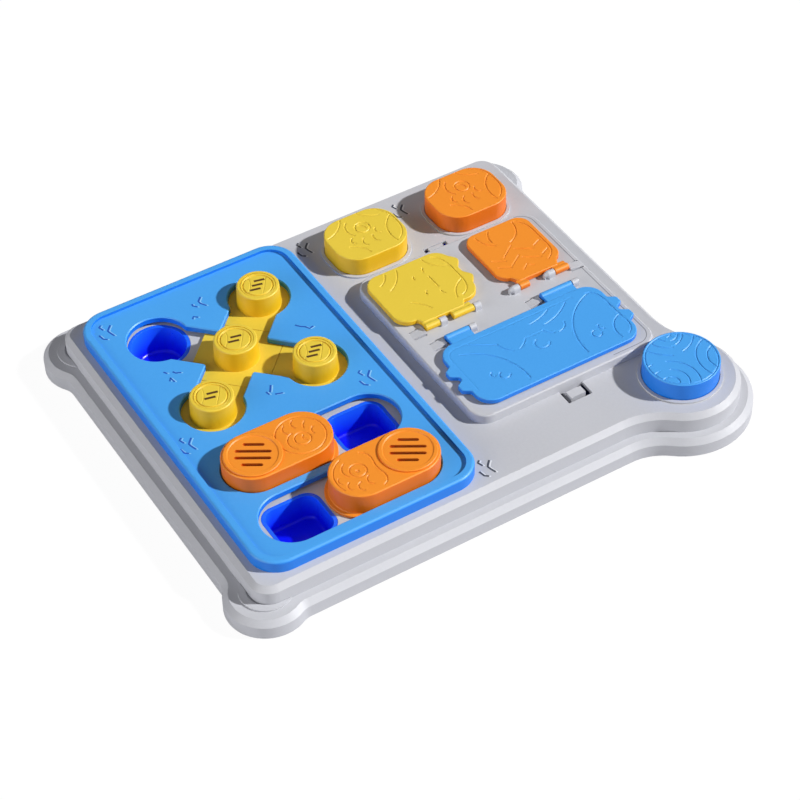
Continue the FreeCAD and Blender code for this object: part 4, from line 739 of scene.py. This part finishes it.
floor_mix = add_node(floor_tree, "ShaderNodeMixShader",
                     ((0, floor_share.outputs[0]), (1, floor_shader.outputs[0]), (2, floor_white.outputs[0])))
floor_tree.links.new(floor_mix.outputs[0], floor_tree.nodes["Material Output"].inputs["Surface"])
floor_mesh.materials.append(floor_paint)

# Light: a hard key from the right of the picture, a broad low fill from its left, and an even pale sky.
# The sky is dim as a lamp and white to the camera, so the shadows keep their depth on a white ground.


def aim_sun(name, energy, spread, azimuth, elevation):
    """A sun lamp that shines from an azimuth and an elevation. All angles are in degrees."""
    lamp = bpy.data.lights.new(name, "SUN")
    lamp.energy = energy
    lamp.angle = math.radians(spread)
    sun = bpy.data.objects.new(name, lamp)
    bpy.context.scene.collection.objects.link(sun)
    around, up = math.radians(azimuth), math.radians(elevation)
    back = np.array((math.cos(around) * math.cos(up), math.sin(around) * math.cos(up), math.sin(up)))
    right = np.cross((0.0, 0.0, 1.0), back)
    right /= np.linalg.norm(right)
    sun.matrix_world = Matrix(np.column_stack((right, np.cross(back, right), back)).tolist()).to_4x4()


aim_sun("key", energy=3.95, spread=2.5, azimuth=-33.0, elevation=36.0)
aim_sun("fill", energy=2.5, spread=60.0, azimuth=183.0, elevation=6.0)

sky_strength, seen_strength = 0.16, 1.0
world = bpy.data.worlds.new("pale studio")
bpy.context.scene.world = world
world.use_nodes = True
sky_tree = world.node_tree
sky_tree.nodes.clear()
sky_light = add_node(sky_tree, "ShaderNodeBackground",
                     (("Color", linear("#F8F8FF")), ("Strength", sky_strength)))
sky_seen = add_node(sky_tree, "ShaderNodeBackground",
                    (("Color", linear("#FFFFFF")), ("Strength", seen_strength)))
sky_ray = add_node(sky_tree, "ShaderNodeLightPath").outputs["Is Camera Ray"]
sky_mix = add_node(sky_tree, "ShaderNodeMixShader",
                   ((0, sky_ray), (1, sky_light.outputs[0]), (2, sky_seen.outputs[0])))
add_node(sky_tree, "ShaderNodeOutputWorld", (("Surface", sky_mix.outputs[0]),))

# Camera: a long lens from the front left, at the photograph's angle, tilted by a degree and a half.
# Its place and focal length are those of the camera that was fitted to the photograph's outlines.
view_azimuth, view_elevation, view_roll = math.radians(-30.52), math.radians(44.84), math.radians(-1.55)
view_target = np.array((-22.98, -37.77, 31.0)) / 1000.0
view_distance, focal_mm, sensor_mm = 1.68213, 105.08, 36.0
view_back = np.array((math.sin(view_azimuth) * math.cos(view_elevation),
                      -math.cos(view_azimuth) * math.cos(view_elevation), math.sin(view_elevation)))
level_right = np.cross((0.0, 0.0, 1.0), view_back)
level_right /= np.linalg.norm(level_right)
level_up = np.cross(view_back, level_right)
view_right = math.cos(view_roll) * level_right + math.sin(view_roll) * level_up
view_up = -math.sin(view_roll) * level_right + math.cos(view_roll) * level_up
camera_data = bpy.data.cameras.new("camera")
camera_data.sensor_width = sensor_mm
camera_data.lens = focal_mm
camera = bpy.data.objects.new("camera", camera_data)
bpy.context.scene.collection.objects.link(camera)
camera_turn = Matrix(np.column_stack((view_right, view_up, view_back)).tolist()).to_4x4()
camera.matrix_world = Matrix.Translation((view_target + view_distance * view_back).tolist()) @ camera_turn
bpy.context.scene.camera = camera
bpy.context.scene.view_settings.view_transform = "Standard"
